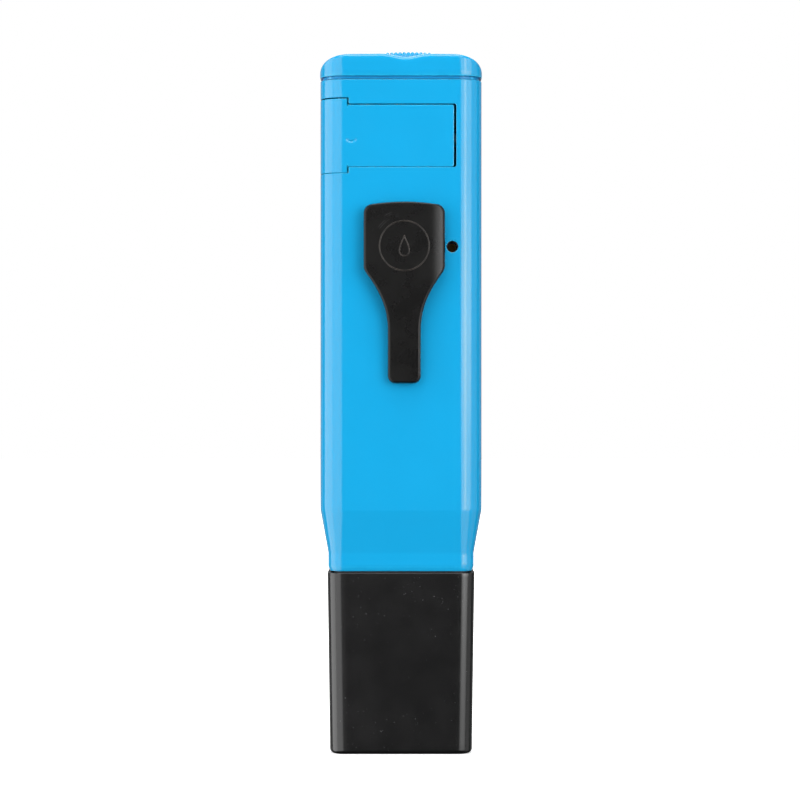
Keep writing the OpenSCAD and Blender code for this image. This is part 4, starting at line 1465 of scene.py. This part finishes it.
@dataclass
class Clip:
    """Pocket clip: a wide rounded head that flares down into a narrow tongue."""

    corner: float = 2.2
    shoulder: float = 119.9
    waist: float = 104.8
    flare_top: tuple[float, float] = (3.5, 4.7)
    flare_low: float = 6.2
    blunt: float = 0.8
    tongue_w: float = 8.1
    arch: float = 0.6
    arch_h: float = 3.0
    tip: float = 1.8
    thickness: float = 2.2
    rim: float = 0.55
    bluff: float = 0.14
    set_back: float = 0.1
    dome_from: float = 5.5
    dome_depth: float = 0.6
    spare: float = 0.25
    lift: float = 0.1
    face_z: tuple[float, float] = (112.0, 118.0)
    face_y: tuple[float, float, float] = (1.3, 0.2, 0.0)
    tip_back: float = 3.15
    foot_z: tuple[float, float] = (94.5, 97.0)
    foot_gap: float = 0.05
    back_z: float = 113.0
    ring_radius: float = 6.1
    drop: tuple[float, float] = (1.75, 2.5)
    drop_power: float = 1.6
    emblem_rise: float = 1.1

    def half_width(self, z: np.ndarray, top: float, low: float, head: float) -> np.ndarray:
        """Half width at each height.

        From the top: quarter circle, straight, a blunt corner, a cubic flare that runs out level,
        straight tongue, quarter circle. The blunt corner is a mean over nearby heights.

        Args:
            z: Heights.
            top: Height of the straight top edge at its ends.
            low: Lower end.
            head: Half width of the head.

        Returns:
            The half widths.
        """
        n, (in_x, down_z) = self.tongue_w / 2, self.flare_top
        t = np.linspace(0, 1, 80)
        first, second = [head, self.shoulder], [head - in_x, self.shoulder - down_z]
        control = np.array([first, second, [n, self.waist + self.flare_low], [n, self.waist]])
        basis = np.stack([(1 - t) ** 3, 3 * t * (1 - t) ** 2, 3 * t * t * (1 - t), t**3], axis=1)
        flare = basis @ control
        nearby = z[:, None] + np.linspace(-self.blunt, self.blunt, 9)[None]
        width = np.interp(nearby, flare[::-1, 1], flare[::-1, 0]).mean(axis=1)
        up = np.clip(z - (top - self.corner), 0, self.corner)
        down = np.clip(low + self.tip - z, 0, self.tip)
        width = width - self.corner + np.sqrt(self.corner**2 - up**2)
        return width - self.tip + np.sqrt(self.tip**2 - down**2)

    def rows(self, top: float, low: float) -> np.ndarray:
        """Heights of the grid: cosine steps within the rounded ends, even steps between them.

        Args:
            top: Height of the straight top edge at its ends.
            low: Lower end.

        Returns:
            The heights.
        """
        ends = 1 - np.cos(np.linspace(0, math.pi / 2, 12))
        z_top, z_low = top - self.corner * ends, low + self.tip * ends
        return np.unique(np.round(np.concatenate([z_low, lines(z_low[-1], z_top[-1], 0.45), z_top]), 5))

    def columns(self, half: np.ndarray) -> np.ndarray:
        """Places across each row: close together in the rim, even between the two rims.

        Args:
            half: Half width of each row.

        Returns:
            Rows by places.
        """
        shares = np.array([0, 0.075, 0.175, 0.3, 0.45, 0.62, 0.81, 1.0])
        core = np.linspace(-1, 1, 44)[None, 1:-1]
        inner = np.maximum(half - self.rim, half * 0.5)
        offset = shares[None] * (half - inner)
        return np.concatenate([-half + offset, core * inner, (half - offset)[:, ::-1]], axis=1)

    def rim_drop(self, gap: np.ndarray) -> np.ndarray:
        """How far the face falls back near its border: a flattened quarter circle.

        Args:
            gap: Distance to the border.

        Returns:
            The depths.
        """
        k = np.clip(1 - gap / self.rim, 0, 1)
        return self.rim * 0.6 * (1 - np.sqrt(1 - k**2 * 0.98))

    def make(self) -> None:
        """Builds the clip: a front grid, a back grid and the wall between their borders.

        The head's right-hand side falls back as the cube of the way to the edge. The top edge
        is a parabola. The face and the back run straight between given heights.
        """
        low, high = box_mm("pocket_clip")
        (x_mid, _, z_mid), head = (low + high) / 2, (high[0] - low[0]) / 2 + self.spare
        (_, rear, tip), front = low, high[1]
        top = high[2] + self.lift - self.arch
        z = self.rows(top, tip)
        half = self.half_width(z, top, tip, head)[:, None]
        across, rise = self.columns(half), z[:, None]
        gap = np.minimum(half - np.abs(across), np.minimum(top - rise, rise - tip))
        dx, dz = np.abs(across) - (head - self.corner), rise - (top - self.corner)
        gap = np.where((dx > 0) & (dz > 0), self.corner - np.hypot(dx, dz), gap)
        right = np.clip((across - self.dome_from) / (head - self.dome_from), 0, 1)
        wide = np.clip((rise - self.waist) / (self.shoulder - self.waist), 0, 1)
        base = rear + self.set_back + np.interp(z, [tip, *self.face_z], self.face_y)[:, None]
        share = np.clip((rise - (top - self.arch_h)) / self.arch_h, 0, 1) ** 2
        arched = rise + self.arch * (1 - (across / np.maximum(half, 0.1)) ** 2) * share
        narrow = 1 - self.bluff / np.maximum(half, self.bluff * 2)
        short = 1 - 2 * self.bluff / (high[2] - low[2])
        face_y = base + self.rim_drop(gap) + self.dome_depth * right**3 * wide
        face = np.stack([x_mid + across * narrow, face_y, z_mid + (arched - z_mid) * short], axis=2)
        depths = [rear + self.tip_back, front, front - self.foot_gap, rear + self.thickness]
        inside = np.interp(z, [tip, *self.foot_z, self.back_z], depths)[:, None]
        back = np.stack([x_mid + across, np.broadcast_to(inside, across.shape), arched], axis=2)
        skin = Skin().grid(face).grid(back)
        front_loop, back_loop = (
            np.concatenate([side[0, :-1], side[:-1, -1], side[-1, :0:-1], side[:0:-1, 0]])
            for side in (face, back)
        )
        loops = [front_loop]
        for t in (0.3, 0.6, 0.94, 1.0):
            loop = back_loop.copy()
            loop[:, 1] = front_loop[:, 1] * (1 - t) + back_loop[:, 1] * t
            loops.append(loop)
        skin.grid(np.stack(loops), around=True)
        make_piece("clip_plate", skin, BLACK_CLIP, "clip", ["pocket_clip"], crease=42)
        self.emblem(x_mid, rear + self.set_back)

    def emblem(self, x: float, y: float) -> None:
        """Raised ring with a plain water drop in it: two closed paths with a half-round section.

        The drop's outline is a circle whose upper part is drawn out to a point: across is the
        sine of the angle times the sine of half of it to a power, and up is the cosine.

        Args:
            x: Middle of the clip.
            y: Outer face of the clip.
        """
        z = box_mm("trimmer_screw")[0][2] + self.emblem_rise
        angle = np.linspace(0, 2 * math.pi, 120, endpoint=False)
        sine, cosine, turn = np.sin(angle), np.cos(angle), np.linspace(0, math.pi, 7)
        circle = np.stack([sine, cosine], axis=1) * self.ring_radius
        pointed = sine * np.sin(angle / 2) ** self.drop_power
        drop = np.stack([self.drop[0] * pointed, self.drop[1] * cosine], axis=1)
        skin = Skin()
        for path, width, height in ((circle, 0.17, 0.09), (drop, 0.15, 0.08)):
            ahead = np.roll(path, -1, axis=0) - np.roll(path, 1, axis=0)
            side = np.stack([ahead[:, 1], -ahead[:, 0]], axis=1)
            side /= np.maximum(np.linalg.norm(side, axis=1, keepdims=True), 1e-9)
            rings = [
                lift(path + side * width * math.cos(v), y + 0.01 - height * math.sin(v), Axis.Y, (x, z))
                for v in turn
            ]
            skin.loft(rings, closed=True)
        make_piece("clip_emblem", skin, BLACK_CLIP, "clip")


# ---------------------------------------------------------------------------------------------
# Electrode and protective cap
# ---------------------------------------------------------------------------------------------


@dataclass
class Electrode:
    """Holder, seals, electrode body, glass bulb, junction and the guard with its fingers."""

    holder_low: float = 36.0
    spigot: tuple[float, float] = (33.2, 17.0)
    spigot_radius: float = 2.2
    spigot_top: float = 45.33
    seal_groove: tuple[float, float] = (40.0, 41.6)
    seal_depth: float = 0.58
    plug: tuple[float, float] = (32.6, 16.4)
    plug_radius: float = 1.7
    plug_top: float = 54.0
    bore: float = 6.05
    body_bore: float = 2.62
    body_wall: float = 3.0
    glass: float = 0.5
    stem: tuple[float, float] = (2.6, 2.0)
    stem_top: float = 26.0
    guard_radius: float = 7.6
    guard_wall: float = 1.55
    finger_gap: float = 4.0
    gap_top: float = 17.5

    def holder(self) -> None:
        """Holder: a closed loft up the outside, with the seal's groove, and down the bore."""
        low, deep = self.holder_low, self.seal_depth
        start, end = self.seal_groove
        shapes = [(0.5, low), (0.15, low + 0.15), (0, low + 0.5), (0, start), (deep, start), (deep, end)]
        shapes += [(0, end), (0, self.spigot_top)]
        rings = [hoop(self.spigot, self.spigot_radius, z, inset=inset) for inset, z in shapes]
        rings += [hoop(self.plug, self.plug_radius, z) for z in (self.spigot_top, self.plug_top)]
        rings += [hoop((2 * self.bore,) * 2, self.bore - 0.01, z) for z in (self.plug_top, low)]
        skin = Skin().loft(rings, closed=True)
        make_piece("holder_block", skin, INNER_BLACK, "case", ["electrode_holder"])

    def seals(self) -> None:
        """Soft rings: the cap's seal round the holder and the small one round the electrode.

        The section of each is an ellipse.
        """
        low, high = box_mm("cap_seal")
        (wide, deep, tall), middle = high - low, (low[2] + high[2]) / 2
        angle = np.linspace(0, 2 * math.pi, 12, endpoint=False)
        half, core = 0.38, (wide - 1.52, deep - 1.52)
        rings = [
            hoop(core, self.plug_radius, middle + tall / 2 * math.sin(v), inset=-half * (1 + math.cos(v)))
            for v in angle
        ]
        skin = Skin().loft(rings, closed=True)
        make_piece("cap_seal_ring", skin, SOFT_RUBBER, "case", ["cap_seal"])
        low, high = box_mm("electrode_seal")
        half, tall, middle = 0.46, 0.7, (low[2] + high[2]) / 2
        section = np.stack([high[0] - half + half * np.cos(angle), middle + tall * np.sin(angle)], axis=1)
        skin = turned(Skin(), section, Axis.Z, (0, 0), closed=True)
        make_piece("electrode_seal_ring", skin, SOFT_RUBBER, "case", ["electrode_seal"])

    def body(self) -> None:
        """Electrode body: a turned tube with a closed upper end."""
        low, high = box_mm("electrode_body")
        r, bore, edge, start, end = high[0], self.body_bore, 0.4, low[2], high[2]
        floor = start + self.body_wall
        profile = [[bore, floor], [bore, start], [r - edge, start]]
        profile += [[r - 0.12, start + 0.12], [r, start + edge]]
        profile += [[r, end - edge], [r - edge, end], [0.5, end], [0.5, floor]]
        skin = turned(Skin(), np.array(profile), Axis.Z, (0, 0), 72, closed=True)
        make_piece("electrode_tube", skin, INNER_BLACK, "case", ["electrode_body"])

    def bulb(self) -> None:
        """Glass bulb: two spheres about one centre, each running into a straight stem."""
        low, high = box_mm("glass_bulb")
        r, thin, (stem, stem_in) = high[0], high[0] - self.glass, self.stem
        a = np.linspace(0, math.pi - math.asin(stem / r), 26)[1:]
        b = np.linspace(math.pi - math.asin(stem_in / thin), 0, 24)[:-1]
        outer, inner = (
            np.stack([size * np.sin(v), low[2] + r - size * np.cos(v)], axis=1)
            for size, v in ((r, a), (thin, b))
        )
        tall = np.array([[stem, self.stem_top], [stem_in, self.stem_top]])
        skin = turned(Skin(), np.concatenate([outer, tall, inner]), Axis.Z, (0, 0), 72)
        make_piece("bulb_glass", skin, GLASS, "case", ["glass_bulb"])

    def junction(self) -> None:
        """Reference junction: a small turned plug with a chamfered lower end."""
        low, high = box_mm("reference_junction")
        r, at = (high[0] - low[0]) / 2, ((low + high) / 2)[:2]
        profile = np.array([[r - 0.2, low[2]], [r, low[2] + 0.2], [r, high[2]]])
        skin = turned(Skin(), profile, Axis.Z, at, 32)
        make_piece("junction_plug", skin, CLOTH, "case", ["reference_junction"])

    def guard(self) -> None:
        """Guard: a turned wall with its lower part cut into four fingers, with rounded edges."""
        low, high = box_mm("bulb_guard")
        quarter, half_gap = math.pi / 2, math.asin(self.finger_gap / self.guard_radius)
        cuts = [k * quarter + side for k in range(4) for side in (-half_gap, half_gap)]
        angle = lines(-half_gap, 4 * quarter - half_gap, 0.09, cuts)[:-1]
        z = lines(low[2], high[2], 1.0, [self.gap_top])
        ring = self.guard_radius * np.stack([np.cos(angle), np.sin(angle)], axis=1)
        points = np.stack([lift(ring, h, Axis.Z, (0, 0)) for h in z])
        middle = (angle + np.append(angle[1:], angle[0] + 4 * quarter)) / 2
        in_gap = np.abs((middle + quarter / 2) % quarter - quarter / 2) < half_gap
        low_rows = (z[:-1] + z[1:]) / 2 < self.gap_top
        skin = Skin().grid(points, keep=~(low_rows[:, None] & in_gap[None]), around=True)
        make_piece(
            "guard_fingers", skin, INNER_BLACK, "case", ["bulb_guard"],
            self.guard_wall, 0.2,
        )


@dataclass
class ProtectiveCap:
    """Pull-off cap that the pen stands on, with the sponge in its floor."""

    mouth: tuple[float, float] = (36.6, 20.4)
    foot: tuple[float, float] = (35.3, 19.2)
    radius: float = 3.5
    wall: float = 1.3
    foot_edge: float = 1.2
    lip: float = 0.18
    mouth_edge: float = 0.2
    floor: float = 1.6
    taper_from: float = 1.0
    pad_radius: float = 3.0
    pad_edge: float = 0.7
    pad_drop: float = 0.1
    pad_wave: float = 0.09
    steps: tuple[int, int, int] = (20, 10, 12)
    pad_steps: tuple[int, int, int] = (20, 12, 8)

    def ring(self, z: float, inset: float, radius: float) -> np.ndarray:
        """Outline at a height: foot and mouth sizes mixed by height, pulled in by the inset.

        Args:
            z: Height.
            inset: How far it is pulled in.
            radius: Corner radius before the inset.

        Returns:
            Points by three.
        """
        top = box_mm("protective_cap")[1][2]
        t = np.clip((z - self.taper_from) / (top - self.taper_from), 0, 1)
        size = np.array(self.foot) * (1 - t) + np.array(self.mouth) * t - 2 * inset
        return hoop(size, max(radius - inset, 0.3), z, steps=self.steps)

    def make(self) -> None:
        """Builds the cap as one loft: foot, rounded edge, wall, rounded mouth, inside, floor."""
        top = box_mm("protective_cap")[1][2]
        e, lip, wall, floor, r = self.foot_edge, self.lip, self.wall, self.floor, self.radius
        shapes = [(0, e + 3, r + 1.2)]
        shapes += [(e - e * math.sin(v), e * (1 - math.cos(v)), r) for v in np.linspace(math.pi / 2, 0, 9)]
        shapes += [(z, 0, r) for z in np.linspace(e + 1.5, top - 1, 12)]
        turn = np.linspace(0, math.pi / 2, 5)
        shapes += [(top - lip + lip * math.sin(v), lip * (1 - math.cos(v)), r) for v in turn]
        shapes += [(top, wall - self.mouth_edge, r), (top - self.mouth_edge, wall, r)]
        shapes += [(z, wall, r) for z in (30, 10, floor + 1)]
        shapes += [(floor + 0.3, wall + 0.3, r), (floor, wall + 1, r), (floor, wall + 4, r + 1.5)]
        skin = Skin().loft([self.ring(*shape) for shape in shapes])
        make_piece("cap_shell", skin, BLACK_CAP, "cap", ["protective_cap"], crease=60)

    def sponge(self) -> None:
        """Sponge: a soft-edged block whose top is uneven by the product of two waves."""
        low, high = box_mm("cap_sponge")
        size, top = (high - low)[:2], high[2] - self.pad_drop
        rings = [
            hoop(size, self.pad_radius, z, steps=self.pad_steps, inset=inset)
            for z, inset in rounded_ends(low[2], top, self.pad_edge, 5)
        ]
        flat = outline(*size, self.pad_radius, *self.pad_steps)
        for k in (0.9, 0.75, 0.6, 0.45, 0.3, 0.15):
            spot = flat * k * 0.93
            wave = np.sin(spot[:, 0] * 1.3) * np.cos(spot[:, 1] * 1.7)
            rings.append(lift(spot, top + self.pad_wave * wave, Axis.Z, (0, 0)))
        skin = Skin().loft(rings)
        piece = make_piece("sponge_pad", skin, FOAM, "cap", ["cap_sponge"], crease=70)


# ---------------------------------------------------------------------------------------------
# Studio
# ---------------------------------------------------------------------------------------------


@dataclass
class Softbox:
    """Rectangular soft light, placed round the pen by its direction and turned to face it."""

    name: str
    azimuth: float
    elevation: float
    width: float
    height: float
    radiance: float
    distance: float = 1.2

    def place(self, target: Vector) -> None:
        """Adds the light.

        Args:
            target: Point that it faces.
        """
        lamp = bpy.data.lights.new(self.name, "AREA")
        lamp.shape, lamp.size, lamp.size_y = "RECTANGLE", self.width, self.height
        lamp.energy = self.radiance * self.width * self.height * math.pi
        holder = bpy.data.objects.new(self.name, lamp)
        bpy.context.scene.collection.objects.link(holder)
        a, e = math.radians(self.azimuth), math.radians(self.elevation)
        back = Vector((math.sin(a) * math.cos(e), -math.cos(a) * math.cos(e), math.sin(e)))
        holder.location = target + back * self.distance
        holder.rotation_euler = (-back).to_track_quat("-Z", "Y").to_euler()
        holder.visible_camera = False


@dataclass
class Studio:
    """Camera, soft lights, white surroundings and the floor."""

    lens: float = 109.4
    stand_off: float = 0.6
    aim_x: float = -0.00025
    aim_z: float = 0.0878
    floor_half: float = 3.0
    glow_reach: tuple[float, float] = (60.0, 260.0)
    glow: tuple[float, float] = (0.4, 1.0)

    def camera(self) -> None:
        """Level camera in front of the rear face."""
        made = bpy.data.objects.new("camera", bpy.data.cameras.new("camera"))
        bpy.context.scene.collection.objects.link(made)
        rear = box_mm("rear_shell")[0][1] * MM
        made.location = (self.aim_x, rear - self.stand_off, self.aim_z)
        made.rotation_euler = (math.pi / 2, 0, 0)
        made.data.lens, made.data.sensor_width = self.lens, 36
        bpy.context.scene.camera = made

    def lights(self) -> None:
        """Softboxes left, right and overhead, with a dark gap behind the camera."""
        target = Vector((0, 0, self.aim_z))
        boxes = [
            Softbox("left_front", -30.5, 0, 0.97, 2.2, 2.0),
            Softbox("left_side", -80, 0, 1.15, 2.2, 3.1),
            Softbox("right_wide", 39, 16, 1.22, 1.09, 2.7),
            Softbox("right_low", 35, -18, 0.95, 0.62, 1.7),
            Softbox("right_core", 33, 11, 0.2, 0.75, 3.6),
            Softbox("right_middle", 39, 2.9, 1.22, 0.15, 2.4),
            Softbox("overhead", 0, 72, 0.8, 0.75, 5.0),
            Softbox("right_side", 84, 0, 0.8, 2.2, 0.65),
            Softbox("far_left", -150, 10, 1.2, 1.8, 0.45),
            Softbox("far_right", 150, 10, 1.2, 1.8, 0.3),
            Softbox("back", 180, 50, 1.0, 0.8, 3.4),
        ]
        for one in boxes:
            one.place(target)

    def world(self) -> None:
        """White surroundings where the camera sees them, and dim grey for the light they give."""
        world = bpy.data.worlds.new("surroundings")
        bpy.context.scene.world = world
        world.use_nodes = True
        tree = world.node_tree
        tree.nodes.clear()
        path = tree.nodes.new("ShaderNodeLightPath")
        mix = tree.nodes.new("ShaderNodeMixShader")
        out = tree.nodes.new("ShaderNodeOutputWorld")
        tree.links.new(path.outputs["Is Camera Ray"], mix.inputs[0])
        for index, grey in ((1, 0.04), (2, 1.0)):
            shade = tree.nodes.new("ShaderNodeBackground")
            shade.inputs["Color"].default_value = (grey, grey, grey, 1)
            tree.links.new(shade.outputs[0], mix.inputs[index])
        tree.links.new(mix.outputs[0], out.inputs[0])
        bpy.context.scene.view_settings.view_transform = "Standard"

    def floor(self) -> None:
        """Pale floor at the height of the cap's foot."""
        reach = np.linspace(-self.floor_half, self.floor_half, 9)
        x, y = np.meshgrid(reach, reach)
        skin = Skin().grid(np.stack([x, y, 0 * x], axis=2) / MM)
        mesh = merged_mesh("floor", skin, False)
        piece = bpy.data.objects.new("floor", mesh)
        bpy.context.scene.collection.objects.link(piece)
        nodes = FLOOR.build()
        away = nodes.node("ShaderNodeVectorMath", Vector=nodes.scaled.outputs["Vector"])
        away.operation = "LENGTH"
        glow = nodes.remap(away.outputs["Value"], *self.glow_reach, *self.glow)
        nodes.set(Emission_Color=(1, 1, 1, 1), Emission_Strength=glow)
        mesh.materials.append(nodes.material)
        piece.visible_glossy = piece.visible_diffuse = False
        if mesh.polygons[0].normal.z < 0:
            mesh.flip_normals()


def dress_carried_over(nodes: dict[str, bpy.types.Object]) -> None:
    """Gives every CAD node that stays its procedural finish.

    Args:
        nodes: CAD nodes by name.
    """
    for name, finish in CARRIED_OVER.items():
        mesh = nodes[name].data
        mesh.materials.clear()
        mesh.materials.append(finish.material())
        LOG.info("%s keeps its CAD shape, with finish %s", name, finish.name)


def main() -> None:
    """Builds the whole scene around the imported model."""
    logging.basicConfig(level=logging.INFO, format="%(name)s: %(message)s")
    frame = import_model()
    studio = Studio()
    studio.camera()
    studio.lights()
    studio.world()
    studio.floor()

    case, drawer, display = Case(), Drawer(), Display()
    electrode, cap = Electrode(), ProtectiveCap()
    case.rear(drawer)
    case.rear_fittings(drawer)
    case.front()
    case.frame()
    drawer.skin(case)
    drawer.tray(case)
    steps: list[Callable[[], None]] = [drawer.cells, TopCap().make, Knob().make]
    steps += [display.window, display.label, display.colour_scale, display.segments, Clip().make]
    steps += [electrode.holder, electrode.seals, electrode.body, electrode.bulb, electrode.junction]
    steps += [electrode.guard, cap.make, cap.sponge]
    for step in steps:
        step()
    dress_carried_over(frame["nodes"])


if __name__ == "__main__":
    main()
